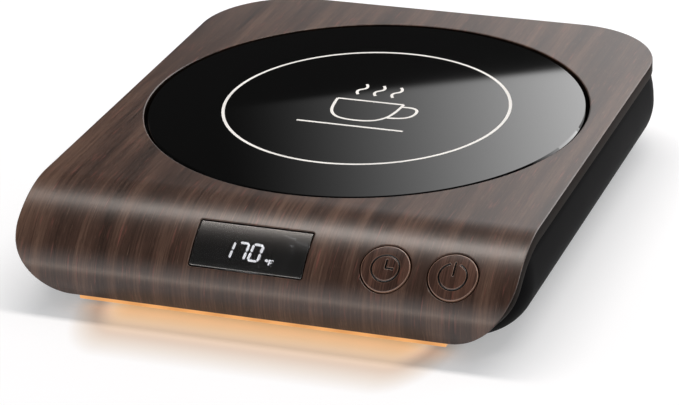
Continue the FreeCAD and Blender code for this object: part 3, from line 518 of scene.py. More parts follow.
def set_skin_normals(made):
    """Gives the outer face of a bent sheet the exact direction of the bend at each point."""
    normals = []
    for place in made.data.attributes["flat_place"].data:
        _, y, z = place.vector
        if z < -1e-7:
            normals.append((0, 0, 0))
            continue
        angle = skin_angle(BEND_START - y / MM)
        normals.append((0, -math.sin(angle), math.cos(angle)))
    made.data.normals_split_custom_set_from_vertices(normals)


def round_corners(shape, corners, radius, steps):
    """Rounds corners of a flat face."""
    bmesh.ops.bevel(
        shape,
        geom=corners,
        offset=radius,
        offset_type="OFFSET",
        segments=steps,
        profile=0.5,
        affect="VERTICES",
        material=-1,
    )


def rounded_rectangle(shape, middle, width, length, radius):
    """Adds a flat rounded rectangle."""
    corners = bmesh.ops.create_grid(shape, x_segments=1, y_segments=1, size=0.5)["verts"]
    bmesh.ops.scale(shape, vec=(width, length, 1), verts=corners)
    bmesh.ops.translate(shape, vec=(*middle, 0), verts=corners)
    round_corners(shape, corners, radius, 5)


def draw_out(shape, faces, height):
    """Extrudes faces straight up, or down where the height is below nought."""
    made = bmesh.ops.extrude_face_region(shape, geom=faces)
    ends = [g for g in made["geom"] if isinstance(g, bmesh.types.BMVert)]
    bmesh.ops.translate(shape, verts=ends, vec=(0, 0, height))


def ease_rim(shape, side, radius):
    """Rounds the rims of the faces that look up or down in a few short steps."""
    steps = 3
    for i in range(steps):
        a = math.pi / 2 * i / steps
        b = math.pi / 2 * (i + 1) / steps
        bmesh.ops.inset_region(
            shape,
            faces=[f for f in shape.faces if f.normal.z * side > 0.99],
            thickness=radius * (math.cos(a) - math.cos(b)),
            depth=radius * (math.sin(b) - math.sin(a)),
            use_even_offset=True,
        )


def cut_across(shape, runs):
    """Cuts a flat sheet across at each length along the bend, so that it can turn smoothly."""
    for run in runs:
        bmesh.ops.bisect_plane(
            shape,
            geom=shape.verts[:] + shape.edges[:] + shape.faces[:],
            plane_co=(0, BEND_START - run, 0),
            plane_no=(0, 1, 0),
        )


class WarmerFinish(bpy.types.PropertyGroup):
    """Sizes of the finish that a user would change."""

    edge_ease: FloatProperty(
        name="Edge ease",
        description="Width of the eased edge round the wood cover",
        default=0.35,
        min=0.05,
        max=0.8,
    )
    ring_radius: FloatProperty(
        name="Ring radius",
        description="Radius of the printed ring on the glass, in millimetres",
        default=34.93,
        min=20.0,
        max=48.0,
    )
    ring_width: FloatProperty(
        name="Ring width",
        description="Width of the printed ring's line, in millimetres",
        default=0.75,
        min=0.3,
        max=2.0,
    )
    glow: FloatProperty(
        name="Light bar glow",
        description="Strength of the amber light bar",
        default=0.8,
        min=0.0,
        max=20.0,
    )


class MUGWARMER_OT_cover(bpy.types.Operator):
    """Builds the wood cover with its eased edges and an edge band painted darker as shade"""

    bl_idname = "mug_warmer.cover"
    bl_label = "Wood cover"

    def execute(self, context):
        ease = context.scene.mug_warmer.edge_ease
        shape = self.flat_sheet(ease)
        place = shape.verts.layers.float_vector.new("flat_place")
        for vert in shape.verts:
            vert[place] = vert.co * MM
            vert.co = self.bent(vert.co) * MM
        bmesh.ops.recalc_face_normals(shape, faces=shape.faces)
        cover = keep_mesh(shape, "wood_cover")
        set_skin_normals(cover)
        face = walnut("walnut_satin", FACE_TONES, 0.30)
        edge = walnut("walnut_edge_painted_shade", SHADED_EDGE_TONES, 0.4, shine=0.008)
        paint(cover, face, edge)
        # Faces under the eased skin take the edge walnut, which is painted darker as shade.
        flat_z = cover.data.attributes["flat_place"].data
        for polygon in cover.data.polygons:
            depth = [-flat_z[i].vector.z for i in polygon.vertices]
            if min(depth) > FACE_DEPTH * MM or max(depth) > EASE_LIMIT * MM:
                polygon.material_index = 1
        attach(cover, BODY)
        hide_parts("top_cover")
        return {"FINISHED"}

    def flat_sheet(self, ease):
        """The sheet before it is bent, with its openings and its eased edges."""
        shape = bmesh.new()
        self.outline(shape)
        self.openings(shape)
        bmesh.ops.triangle_fill(shape, use_beauty=True, edges=shape.edges[:])
        bmesh.ops.recalc_face_normals(shape, faces=shape.faces)
        bmesh.ops.reverse_faces(shape, faces=[f for f in shape.faces if f.normal.z < 0])
        bmesh.ops.translate(shape, verts=shape.verts, vec=(0, 0, -ease))
        draw_out(shape, shape.faces[:], ease - SHEET)
        bmesh.ops.recalc_face_normals(shape, faces=shape.faces)
        ease_rim(shape, 1, ease)
        ease_rim(shape, -1, INNER_EASE)
        cut_across(shape, self.bend_lines())
        return shape

    def outline(self, shape):
        """The sheet's outline: round corners at the back, and slimmer ones at the lip."""
        lip = BEND_START - LIP_RUN
        bmesh.ops.create_grid(shape, x_segments=1, y_segments=1, size=0.5)
        bmesh.ops.scale(shape, vec=(2 * HALF_WIDTH, BACK - lip, 1), verts=shape.verts)
        bmesh.ops.translate(shape, vec=(0, (BACK + lip) / 2, 0), verts=shape.verts)
        for end, radius, steps in ((BACK, REAR_CORNER, 30), (lip, LIP_CORNER_X, 24)):
            corners = [v for v in shape.verts if abs(v.co.y - end) < 1]
            round_corners(shape, corners, radius, steps)
        self.stretch_lip_corners(shape, lip)
        bmesh.ops.delete(shape, geom=shape.faces[:], context="FACES_ONLY")

    def stretch_lip_corners(self, shape, lip):
        """Draws the two lip corners out along the curl, so that they are round from in front."""
        start = skin_point(LIP_RUN - LIP_CORNER_RUN)
        chord = skin_point(LIP_RUN) - start
        reach = chord.length
        chord.normalize()
        steps = 400
        runs = [LIP_RUN - LIP_CORNER_RUN * i / steps for i in range(steps + 1)]
        heights = [reach - (skin_point(run) - start).dot(chord) for run in runs]
        for vert in shape.verts:
            rise = vert.co.y - lip
            if 0 < rise < LIP_CORNER_X + 0.001:
                wanted = rise / LIP_CORNER_X * reach
                nearest = min(range(steps + 1), key=lambda i: abs(heights[i] - wanted))
                vert.co.y = BEND_START - runs[nearest]

    def openings(self, shape):
        """Edges of the openings for the glass, the display and the buttons."""
        bmesh.ops.create_circle(
            shape, radius=OPENING_R, segments=192, matrix=Matrix.Translation((0, PLATE_Y, 0))
        )
        for x in BUTTON_X.values():
            bmesh.ops.create_circle(
                shape,
                radius=BUTTON_R + BUTTON_GAP,
                segments=72,
                matrix=Matrix.Translation((x, BEND_START - BUTTON_RUN, 0)),
            )
        left, right = DISPLAY_X
        rounded_rectangle(
            shape,
            ((left + right) / 2, BEND_START - DISPLAY_RUN),
            right - left + 2 * WINDOW_SIDE_GAP,
            2 * DISPLAY_HALF,
            HOLE_CORNER,
        )
        bmesh.ops.delete(shape, geom=shape.faces[:], context="FACES_ONLY")

    def bend_lines(self):
        """Where the sheet is cut across so that it can turn smoothly."""
        big = [BEND_RUN * i / BEND_STEPS for i in range(BEND_STEPS + 1)]
        small = [FLAT_END + (LIP_RUN - FLAT_END) * i / BEND_STEPS for i in range(BEND_STEPS)]
        return big + small

    def bent(self, place):
        """Where a point of the flat sheet lands, with the openings kept square to the skin."""
        x, y, z = place
        run = BEND_START - y
        if run <= 0:
            return Vector((x, y, COVER_TOP + z))
        for middle_x, middle_run, half_x, half_run in self.square_holes():
            near_x = abs(x - middle_x) < half_x + HOLE_MARGIN
            if near_x and abs(run - middle_run) < half_run + HOLE_MARGIN:
                run = middle_run + (run - middle_run) * BEND_RADIUS / (BEND_RADIUS + z)
        return skin_point(run, -z, x)

    def square_holes(self):
        """Centre and half size, across and along, of the openings in the bend."""
        left, right = DISPLAY_X
        half = BUTTON_R + BUTTON_GAP
        holes = [(x, BUTTON_RUN, half, half) for x in BUTTON_X.values()]
        return holes + [((left + right) / 2, DISPLAY_RUN, (right - left) / 2, DISPLAY_HALF)]


class MUGWARMER_OT_hot_plate(bpy.types.Operator):
    """Builds the black glass plate with its bevel, printed ring and cup drawing"""

    bl_idname = "mug_warmer.hot_plate"
    bl_label = "Hot plate"

    def execute(self, context):
        finish = context.scene.mug_warmer
        self.glass()
        ink = moulded("white_ceramic_ink", "f4f4f2", 0.45, grit=0.2, depth=0.004)
        self.ring(finish.ring_radius, finish.ring_width, ink)
        self.drawing(ink)
        return {"FINISHED"}

    def glass(self):
        """The glass: a thick disc with a ground bevel round its top."""
        shape = bmesh.new()
        disc = bmesh.ops.create_circle(
            shape,
            cap_ends=True,
            radius=GLASS_R * MM,
            segments=192,
            matrix=Matrix.Translation((0, PLATE_Y * MM, (GLASS_TOP - GLASS_THICK) * MM)),
        )
        draw_out(shape, [disc["verts"][0].link_faces[0]], GLASS_THICK * MM)
        high = (GLASS_TOP - GLASS_BEVEL) * MM
        rim = [e for e in shape.edges if all(v.co.z > high for v in e.verts)]
        cut = bmesh.ops.bevel(
            shape,
            geom=rim,
            offset=GLASS_BEVEL * MM,
            offset_type="OFFSET",
            segments=1,
            profile=0.5,
            affect="EDGES",
            material=-1,
        )
        for made in cut["faces"]:
            made.material_index = 1
        bmesh.ops.recalc_face_normals(shape, faces=shape.faces)
        plate = keep_mesh(shape, "glass_top", smooth=20)
        ground = moulded("ground_glass_edge", "c9ccd0", 0.22, grit=0.15, depth=0.003)
        paint(plate, black_glass(), ground)
        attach(plate, BODY)
        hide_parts("glass_plate")

    def ring(self, radius, width, ink):
        """The printed ring, a film on the glass."""
        shape = bmesh.new()
        low = (GLASS_TOP - PRINT_SUNK) * MM
        loops = []
        for r in (radius - width / 2, radius + width / 2):
            loop = bmesh.ops.create_circle(
                shape,
                cap_ends=False,
                radius=r * MM,
                segments=160,
                matrix=Matrix.Translation((0, PLATE_Y * MM, low)),
            )
            loops += list({e for v in loop["verts"] for e in v.link_edges})
        flat = bmesh.ops.bridge_loops(shape, edges=loops)
        draw_out(shape, flat["faces"], PRINT_THICK * MM)
        bmesh.ops.recalc_face_normals(shape, faces=shape.faces)
        ring = keep_mesh(shape, "printed_ring")
        paint(ring, ink)
        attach(ring, BODY)

    def drawing(self, ink):
        """A printed line drawing of a steaming cup on a table."""
        lines = bpy.data.curves.new("printed_cup", "CURVE")
        lines.dimensions = "3D"
        lines.bevel_depth = CUP_LINE
        lines.bevel_resolution = 2
        lines.use_fill_caps = True
        lines.resolution_u = 16
        bowl = [(-8.5, 4.5), (-8.2, -1.5), (-6.0, -6.0), (-2.5, -7.5)]
        bowl += [(-x, y) for x, y in reversed(bowl)]
        handle = [(8.4, 3.0), (12.4, 3.6), (13.4, -0.8), (11.0, -4.0), (7.1, -4.2)]
        steam = [(0.0, 8.0), (-1.6, 10.2), (1.6, 12.4), (0.0, 14.6)]
        for points in (bowl, handle):
            self.stroke(lines, points)
        for shift in (-4.5, 0.0, 4.5):
            self.stroke(lines, [(x + shift, y) for x, y in steam])
        for half, y in ((8.5, 4.5), (13.5, -11.0)):
            self.stroke(lines, [(-half, y), (half, y)])
        drawn = bpy.data.objects.new("printed_cup_line", lines)
        bpy.context.scene.collection.objects.link(drawn)
        bpy.context.view_layer.update()
        graph = bpy.context.evaluated_depsgraph_get()
        mesh = bpy.data.meshes.new_from_object(drawn.evaluated_get(graph))
        bpy.data.objects.remove(drawn)
        flatten = Matrix.Diagonal((MM, MM, MM * CUP_FLATTENED, 1))
        lift = Matrix.Translation((0, CUP_Y * MM, GLASS_TOP * MM))
        shape = bmesh.new()
        shape.from_mesh(mesh)
        bpy.data.meshes.remove(mesh)
        bmesh.ops.transform(shape, matrix=lift @ flatten, verts=shape.verts)
        bmesh.ops.recalc_face_normals(shape, faces=shape.faces)
        cup = keep_mesh(shape, "printed_cup", smooth=60)
        paint(cup, ink)
        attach(cup, BODY)

    def stroke(self, lines, points):
        """One smooth open line that its points pull into shape."""
        spline = lines.splines.new("NURBS")
        spline.points.add(len(points) - 1)
        for point, (x, y) in zip(spline.points, points):
            point.co = (x, y, 0, 1)
        spline.order_u = min(len(points), 3)
        spline.use_endpoint_u = True


class MUGWARMER_OT_display(bpy.types.Operator):
    """Finishes the smoked window, its frame and the lit number"""

    bl_idname = "mug_warmer.display"
    bl_label = "Display"

    def execute(self, context):
        window = self.window()
        paint(window, smoked_acrylic())
        paint_node("display_frame", moulded("satin_black_abs", "0c0c0d", 0.4, shine=0.02))
        paint_node("display_module", moulded("display_block_black", "050506", 0.5, shine=0.02))
        paint_node("display_digits", lit("lit_figures", "ffffff", "ffffff", 12.0))
        return {"FINISHED"}

    def window(self):
        """The smoked window: a thin plate with eased edges, bent with the front."""
        left, right = DISPLAY_X
        half = DISPLAY_HALF - WINDOW_GAP
        shape = bmesh.new()
        middle = ((left + right) / 2, BEND_START - DISPLAY_RUN)
        rounded_rectangle(shape, middle, right - left, 2 * half, WINDOW_CORNER)
        bmesh.ops.reverse_faces(shape, faces=[f for f in shape.faces if f.normal.z < 0])
        bmesh.ops.translate(shape, vec=(0, 0, -WINDOW_EASE), verts=shape.verts)
        draw_out(shape, shape.faces[:], WINDOW_EASE - WINDOW_THICK)
        bmesh.ops.recalc_face_normals(shape, faces=shape.faces)
        ease_rim(shape, 1, WINDOW_EASE)
        steps = 36
        first = DISPLAY_RUN - half
        cut_across(shape, [first + 2 * half * i / steps for i in range(1, steps)])
        place = shape.verts.layers.float_vector.new("flat_place")
        for vert in shape.verts:
            x, y, z = vert.co
            vert[place] = vert.co * MM
            run = BEND_START - y
            run = DISPLAY_RUN + (run - DISPLAY_RUN) * BEND_RADIUS / (BEND_RADIUS + z)
            vert.co = skin_point(run, WINDOW_SUNK - z, x) * MM
        bmesh.ops.recalc_face_normals(shape, faces=shape.faces)
        window = keep_mesh(shape, "smoked_window")
        set_skin_normals(window)
        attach(window, BODY)
        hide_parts("display_window")
        return window


class MUGWARMER_OT_buttons(bpy.types.Operator):
    """Builds the two wood-toned button caps with their cut symbols"""

    bl_idname = "mug_warmer.buttons"
    bl_label = "Buttons"

    def execute(self, context):
        cap_wood = walnut("walnut_cap", CAP_TONES, 0.24)
        acetal = moulded("plunger_acetal", "8a8178", 0.4)
        housing = moulded("switch_black", "111112", 0.4)
        cuts = {"timer": self.clock_cut, "power": self.standby_cut}
        for name, x in BUTTON_X.items():
            cap = self.cap(name + "_cap", x, cuts[name])
            paint(cap, cap_wood)
            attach(cap, name + "_button")
            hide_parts(name + "_button")
            paint_node(name + "_plunger", acetal)
            paint_node(name + "_switch", housing)
        return {"FINISHED"}

    def cap(self, piece, x, cut):
        """A turned cap with a chamfer, a flange and a stem, curved to the front's bend."""
        shape = bmesh.new()
        face = BUTTON_R - CAP_EDGE
        profile = [(face * i / CAP_RINGS, CAP_PROUD) for i in range(CAP_RINGS + 1)]
        profile += [
            (BUTTON_R - 0.3 * CAP_EDGE, CAP_PROUD - 0.3 * CAP_EDGE),
            (BUTTON_R, CAP_PROUD - 1.1 * CAP_EDGE),
            (BUTTON_R, CAP_RIM_FADE),
            (BUTTON_R, CAP_SKIRT),
            (CAP_FLANGE_R, CAP_SKIRT),
            (CAP_FLANGE_R, CAP_FLANGE),
            (CAP_STEM_R, CAP_FLANGE),
            (CAP_STEM_R, CAP_FOOT),
            (0.0, CAP_FOOT),
        ]
        chain = [shape.verts.new((r, 0, z)) for r, z in profile]
        line = [shape.edges.new(pair) for pair in zip(chain, chain[1:])]
        bmesh.ops.spin(
            shape,
            geom=chain + line,
            cent=(0, 0, 0),
            axis=(0, 0, 1),
            angle=2 * math.pi,
            steps=144,
            use_merge=True,
        )
        bmesh.ops.remove_doubles(shape, verts=shape.verts, dist=1e-4)
        place = shape.verts.layers.float_vector.new("flat_place")
        sunk = shape.verts.layers.float.new("cut")
        curve = BEND_RADIUS + CAP_PROUD
        grain_x, grain_y = CAP_GRAIN
        for vert in shape.verts:
            u, v, z = vert.co
            vert[place] = Vector((x + u + grain_x, v + grain_y, 0)) * MM
            if z > CAP_CURVED:
                vert.co.z -= curve - math.sqrt(curve * curve - v * v)
            if z > CAP_PROUD - 0.1 * CAP_EDGE:
                vert[sunk] = self.groove(cut(u, v))
                vert.co.z -= CUT_DEPTH * vert[sunk]
            # The chamfer takes the rim's share, which the cap's wood paints as a highlight.
            elif z > CAP_PROUD - 1.5 * CAP_EDGE:
                vert[sunk] = RIM_SHARE
        turn = Matrix.Rotation(skin_angle(BUTTON_RUN), 4, "X")
        shift = Matrix.Translation(skin_point(BUTTON_RUN, 0, x))
        scale = Matrix.Scale(MM, 4)
        bmesh.ops.transform(shape, matrix=scale @ shift @ turn, verts=shape.verts)
        bmesh.ops.recalc_face_normals(shape, faces=shape.faces)
        return keep_mesh(shape, piece, smooth=50)

    def groove(self, distance):
        """The share of a cut's depth at a distance from its middle line."""
        share = min(1.0, max(0.0, (CUT_HALF - distance) / CUT_SLOPE))
        return share * share * (3 - 2 * share)

    def clock_cut(self, u, v):
        """Distance to a clock's ring and its two hands."""
        ring = abs(math.hypot(u, v) - SYMBOL_R)
        hands = [self.to_line(u, v, (0, 0), tip) for tip in ((0, 2.0), (1.7, 0))]
        return min(ring, *hands)

    def standby_cut(self, u, v):
        """Distance to a standby sign: a ring with a gap at its top and a bar in the gap."""
        ring = abs(math.hypot(u, v) - SYMBOL_R)
        if v > 0 and abs(u) < SYMBOL_GAP:
            end = math.sqrt(SYMBOL_R**2 - SYMBOL_GAP**2)
            ring = math.hypot(abs(u) - SYMBOL_GAP, v - end)
        return min(ring, self.to_line(u, v, (0, 0.3), (0, 3.4)))

    def to_line(self, u, v, start, end):
        """Distance from a point to a short straight line."""
        along = Vector(end) - Vector(start)
        away = Vector((u, v)) - Vector(start)
        share = min(1.0, max(0.0, away.dot(along) / along.length_squared))
        return (away - along * share).length


class MUGWARMER_OT_tray(bpy.types.Operator):
    """Finishes the black tray, its feet and the power socket"""

    bl_idname = "mug_warmer.tray"
    bl_label = "Tray"

    def execute(self, context):
        tray = merged_copy("lower_tray", "black_tray")
        abs_black = moulded("moulded_black_abs", "0b0b0c", 0.5, depth=0.01, shine=0.012)
        paint(tray, abs_black)
        paint_node("rubber_feet", moulded("foot_rubber", "161616", 0.75))
        paint_node("power_socket_body", moulded("socket_nylon", "0b0b0b", 0.45))
        contact = metal("nickel_plate", "cfcac0", 0.2)
        paint_node("power_socket_pin", contact)
        paint_node("power_socket_contact", contact)
        return {"FINISHED"}


class MUGWARMER_OT_light_bar(bpy.types.Operator):
    """Finishes the frosted amber light bar under the front lip"""

    bl_idname = "mug_warmer.light_bar"
    bl_label = "Light bar"

    def execute(self, context):
        glow = context.scene.mug_warmer.glow
        bar = lit("frosted_amber", "a8682c", "f1b170", glow, pitch=10.0, dip=0.2)
        paint_node("light_bar", bar)
        paint_node("light_diodes", lit("amber_diodes", "ffc070", "ff9a3c", 3.0))
        return {"FINISHED"}


class MUGWARMER_OT_inner_parts(bpy.types.Operator):
    """Gives every inner part the finish of its real material"""

    bl_idname = "mug_warmer.inner_parts"
    bl_label = "Inner parts"

    def execute(self, context):
        steel = metal("zinc_plated_steel", "b9b9bb", 0.3)
        finishes = (
            (moulded("chassis_black_abs", "121213", 0.4), "inner_frame", "control_bracket"),
            (moulded("seal_silicone", "2a2a2a", 0.6), "glass_seal"),
            (metal("milled_aluminium", "d0d0d2", 0.3), "heat_spreader"),
            (moulded("amber_heater_film", "a4662a", 0.35), "heating_element"),
            (moulded("mineral_fibre_board", "d8d4c8", 0.85, grit=0.8), "insulation_pad"),
            (metal("pressed_steel", "a8a8ab", 0.35), "heater_retainer"),
            (metal("spring_steel", "8f8f92", 0.3), "thermal_fuse_clip"),
            (steel, "retainer_screws", "case_screws", "board_screws", "control_screws"),
            (metal("plain_brass", "b89b62", 0.3), "temperature_sensor", "thermal_fuse"),
            (
                moulded("green_solder_mask", "0e4a26", 0.3, grit=1.2),
                "power_board",
                "control_board",
                "light_board",
            ),
            (moulded("capacitor_sleeve", "2a3350", 0.3), "capacitors"),
            (moulded("wound_ferrite", "262628", 0.6), "choke"),
            (moulded("epoxy_package", "151515", 0.5), "heater_transistor", "buzzer", "board_chips"),
            (metal("fuse_caps", "c4c2bd", 0.25), "board_fuse"),
            (moulded("natural_nylon", "ddd6c6", 0.45), "lead_headers"),
            (
                moulded("silicone_sleeve", "cbc4b4", 0.55),
                "heater_leads",
                "sensor_leads",
                "fuse_leads",
                "light_leads",
            ),
            (moulded("ribbon_vinyl", "9a9a9a", 0.45), "display_ribbon"),
        )
        for material, *names in finishes:
            for name in names:
                paint_node(name, material)
        return {"FINISHED"}


def lamp(name, place, size, power, target=(0, 0, 0.01), colour="ffffff"):
    """A soft oblong lamp that looks at the object, as wide and as deep as size says."""
    data = bpy.data.lights.new(name, "AREA")
    data.shape = "RECTANGLE"
    data.size, data.size_y = size
    data.energy = power
    data.color = rgb(colour)[:3]
    made = bpy.data.objects.new(name, data)
    bpy.context.scene.collection.objects.link(made)
    back = (Vector(place) - Vector(target)).normalized()
    side = Vector((1, 0, 0))
    side = (side - back * side.dot(back)).normalized()
    axes = Matrix((side, back.cross(side), back)).transposed()
    made.matrix_world = Matrix.Translation(place) @ axes.to_4x4()


class MUGWARMER_OT_stage(bpy.types.Operator):
    """Sets up the pale floor, the soft light and the camera"""

    bl_idname = "mug_warmer.stage"
    bl_label = "Stage"

    def execute(self, context):
        self.floor()
        self.world(context.scene)
        self.lights()
        self.camera(context.scene)
        context.scene.view_settings.view_transform = "Standard"
        return {"FINISHED"}

    def floor(self):
        """A wide pale floor that catches the shadow, with a pool of the bar's amber light painted on it.
        """
        shape = bmesh.new()
        bmesh.ops.create_circle(shape, cap_ends=True, radius=FLOOR_R, segments=96)
        floor = keep_mesh(shape, "floor")
        paint(floor, self.floor_paper())

    def floor_paper(self):
        """Matt backdrop paper: near white, with a painted pool of amber light by the bar in its colour
        and glow.
        """
        material, tree = new_material("pale_floor_painted_pool")
        place = add_node(tree, "TexCoord").outputs["Object"]
        mottle = add_node(tree, "TexNoise", {"Vector": place, "Scale": 3.0, "Detail": 2.0})
        pale = add_node(
            tree,
            "ValToRGB",
            {"Fac": mottle.outputs["Fac"]},
            stops=[(0.3, "d6d9dd"), (0.7, "d8dbdf")],
        )
        # The pool of amber light is painted: it tints the floor's colour by the distance from the bar.
        near = place
        for operation, corner in (("MAXIMUM", PAINTED_POOL_LOW), ("MINIMUM", PAINTED_POOL_HIGH)):
            near = add_node(tree, "VectorMath", {0: near, 1: corner}, operation=operation)
        away = add_node(tree, "VectorMath", {0: place, 1: near}, operation="SUBTRACT")
        away = add_node(tree, "VectorMath", {0: away, 1: PAINTED_POOL_SQUEEZE}, operation="MULTIPLY")
        away = add_node(tree, "VectorMath", {0: away}, operation="LENGTH")
        reach = add_node(tree, "MapRange", {"Value": away.outputs["Value"], "From Max": PAINTED_POOL_REACH})
        pool = add_node(
            tree,
            "ValToRGB",
            {"Fac": reach},
            stops=[
                (0.1, "dfa866"),
                (0.2, "dab184"),
                (0.34, "dabb97"),
                (0.5, "ddc5ae"),
                (0.6, "e4d0bf"),
                (0.76, "f0e7de"),
                (0.95, "ffffff"),
            ],
        )
        tone = add_node(
            tree,
            "Mix",
            {"Factor": 1.0, "A": pale.outputs["Color"], "B": pool.outputs["Color"]},
            data_type="RGBA",
            blend_type="MULTIPLY",
        )
        matt = add_node(tree, "BsdfDiffuse", {"Color": tone.outputs[2]})
        # Painted glow that camera and glossy rays see: strong by the bar, over the lip's shadow, and an
        # even lift to white further off.
        lift = add_node(
            tree,
            "MapRange",
            {"Value": reach, "From Min": 0.38, "From Max": 0.64, "To Min": 0.86, "To Max": 0.36},
            interpolation_type="SMOOTHSTEP",
        )
        seen = seen_by(tree, "Is Camera Ray", "Is Glossy Ray")
        strength = add_node(tree, "Math", {0: seen, 1: lift}, operation="MULTIPLY")
        shine = add_node(tree, "Emission", {"Color": pool.outputs["Color"], "Strength": strength})
        both = add_node(tree, "AddShader", {0: matt, 1: shine})
        finish_material(tree, both)
        return material

    def world(self, scene):
        """White surroundings that look brighter than they light."""
        world = bpy.data.worlds.new("studio")
        scene.world = world
        world.use_nodes = True
        tree = world.node_tree
        tree.nodes.clear()
        seen = seen_by(tree, "Is Camera Ray", "Is Glossy Ray", "Is Transmission Ray")
        strength = add_node(tree, "MapRange", {"Value": seen, "To Min": 0.42, "To Max": 1.0})
        back = add_node(tree, "Background", {"Color": rgb("ffffff"), "Strength": strength})
        add_node(tree, "OutputWorld", {"Surface": back})

    def lights(self):
        """A long softbox over the back and three weak ones low down."""
        lamp(
            "key_softbox",
            place=(0.05, 0.17, 0.80),
            size=(0.92, 0.145),
            power=4.8,
            target=(0.05, 0.05, 0),
            colour="fff6ef",
        )
        lamp("side_softbox", place=(0.26, 0.30, 0.16), size=(0.12, 0.10), power=0.12)
        lamp(
            "back_strip",
            place=(0.05, 0.30, 0.065),
            size=(0.50, 0.08),
            power=0.10,
            target=(0.05, 0.0, 0.05),
        )
        lamp(
            "front_strip",
            place=(-0.25, -0.85, 0.025),
            size=(0.95, 0.05),
            power=1.1,
            target=(0.0, 0.0, 0.03),
            colour="ffe9d8",
        )
        self.tent()

    def tent(self):
        """A tent round the stage that shows only in reflections.

        It is dark low down at the back and overhead, bright to the right above the line that
        the glass shows, and pale towards the floor in front.
        """
        shape = bmesh.new()
        bmesh.ops.create_uvsphere(shape, u_segments=64, v_segments=48, radius=TENT_R)
        bmesh.ops.bisect_plane(
            shape,
            geom=shape.verts[:] + shape.edges[:] + shape.faces[:],
            plane_co=(0, 0, -0.001),
            plane_no=(0, 0, 1),
            clear_inner=True,
        )
        bmesh.ops.reverse_faces(shape, faces=shape.faces)
        tent = keep_mesh(shape, "reflection_tent", smooth=180)
        paint(tent, self.tent_cloth())
        tent.visible_camera = False
        tent.visible_diffuse = False
        tent.visible_shadow = False
        tent.visible_volume_scatter = False

    def tent_cloth(self):
        """Diffusion cloth, lit from behind. It is read from where the glass shows each point."""
        material, tree = new_material("tent_cloth")
        place = add_node(tree, "TexCoord").outputs["Object"]
        seen = add_node(tree, "VectorMath", {0: place, 1: GLASS_EYE}, operation="SUBTRACT")
        parts = add_node(tree, "SeparateXYZ", {0: seen})
        bearing = add_node(
            tree, "Math", {0: parts.outputs["X"], 1: parts.outputs["Y"]}, operation="DIVIDE"
        )
        across = add_node(
            tree, "MapRange", {"Value": bearing, "From Min": -0.43, "From Max": -0.27}
        )
        across = add_node(tree, "Math", {0: across, 1: 2.2}, operation="POWER")
        above = add_node(tree, "VectorMath", {0: seen, 1: GLASS_LINE}, operation="DOT_PRODUCT")
        above = add_node(tree, "MapRange", {"Value": above.outputs["Value"], "From Max": 0.006})
        behind = add_node(tree, "Math", {0: parts.outputs["Y"], 1: 0.5}, operation="GREATER_THAN")
        length = add_node(tree, "VectorMath", {0: seen}, operation="LENGTH")
        height = add_node(
            tree, "Math", {0: parts.outputs["Z"], 1: length.outputs["Value"]}, operation="DIVIDE"
        )
        here = add_node(tree, "SeparateXYZ", {0: place})
        fades = {}
        limits = {
            "overhead": (height, 0.48, 0.62, "LINEAR"),
            "ahead": (here.outputs["Y"], -1.2, -0.2, "LINEAR"),
            "low": (here.outputs["Z"], 0.2, 2.4, "SMOOTHSTEP"),
        }
        for side, (value, full, none, interpolation) in limits.items():
            fades[side] = add_node(
                tree,
                "MapRange",
                {"Value": value, "From Min": full, "From Max": none, "To Min": 1.0, "To Max": 0.0},
                interpolation_type=interpolation,
            )
        glow = across
        for mask in (above, behind, fades["overhead"]):
            glow = add_node(tree, "Math", {0: glow, 1: mask}, operation="MULTIPLY")
        front = add_node(tree, "Math", {0: fades["ahead"], 1: fades["low"]}, operation="MULTIPLY")
        total = add_node(tree, "Math", {0: glow, 1: 3.4, 2: 0.03}, operation="MULTIPLY_ADD")
        total = add_node(tree, "Math", {0: front, 1: 1.6, 2: total}, operation="MULTIPLY_ADD")
        shader = add_node(tree, "Emission", {"Strength": total})
        finish_material(tree, shader)
        material.cycles.emission_sampling = "NONE"
        return material

    def camera(self, scene):
        """The photograph's camera: its bearing, height, roll, distance and aim."""
        azimuth = math.radians(AZIMUTH)
        elevation = math.radians(ELEVATION)
        roll = math.radians(ROLL)
        back = Vector(
            (
                math.sin(azimuth) * math.cos(elevation),
                -math.cos(azimuth) * math.cos(elevation),
                math.sin(elevation),
            )
        )
        level = Vector((math.cos(azimuth), math.sin(azimuth), 0))
        rise = back.cross(level)
        right = math.cos(roll) * level + math.sin(roll) * rise
        up = -math.sin(roll) * level + math.cos(roll) * rise
        place = back * CAMERA_AWAY + right * CAMERA_RIGHT + up * CAMERA_UP
        place += Vector((0, 0, COVER_TOP))
        data = bpy.data.cameras.new("photo_camera")
        data.sensor_width = SENSOR
        data.sensor_fit = "HORIZONTAL"
        data.lens = FOCAL_PX * SENSOR / PHOTO_WIDTH
        data.clip_start = 0.01
        data.clip_end = 50
        camera = bpy.data.objects.new("photo_camera", data)
        scene.collection.objects.link(camera)
        axes = Matrix((right, up, back)).transposed()
        camera.matrix_world = Matrix.Translation(place * MM) @ axes.to_4x4()
        scene.camera = camera


PIECES = ("cover", "hot_plate", "display", "buttons", "tray", "light_bar", "inner_parts", "stage")


class MUGWARMER_PT_panel(bpy.types.Panel):
    """Lists the pieces and the values that a user would change"""

    bl_idname = "MUGWARMER_PT_panel"
    bl_label = "Mug Warmer"
    bl_space_type = "VIEW_3D"
    bl_region_type = "UI"
    bl_category = "Mug Warmer"

    def draw(self, context):
        finish = context.scene.mug_warmer
        for name in ("edge_ease", "ring_radius", "ring_width", "glow"):
            self.layout.prop(finish, name)
        for piece in PIECES:
            self.layout.operator("mug_warmer." + piece)


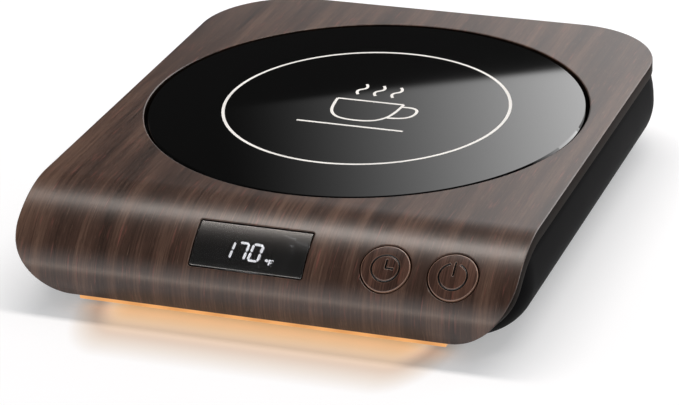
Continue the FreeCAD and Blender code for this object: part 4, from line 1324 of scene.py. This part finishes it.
CLASSES = (
    WarmerFinish,
    MUGWARMER_OT_cover,
    MUGWARMER_OT_hot_plate,
    MUGWARMER_OT_display,
    MUGWARMER_OT_buttons,
    MUGWARMER_OT_tray,
    MUGWARMER_OT_light_bar,
    MUGWARMER_OT_inner_parts,
    MUGWARMER_OT_stage,
    MUGWARMER_PT_panel,
)


def register():
    """Adds the classes and the finish's values to the program."""
    for cls in CLASSES:
        bpy.utils.register_class(cls)
    bpy.types.Scene.mug_warmer = PointerProperty(type=WarmerFinish)


def unregister():
    """Takes them out again."""
    del bpy.types.Scene.mug_warmer
    for cls in reversed(CLASSES):
        bpy.utils.unregister_class(cls)


def main():
    """Builds every piece in order."""
    register()
    for piece in PIECES:
        getattr(bpy.ops.mug_warmer, piece)()


if __name__ == "__main__":
    main()
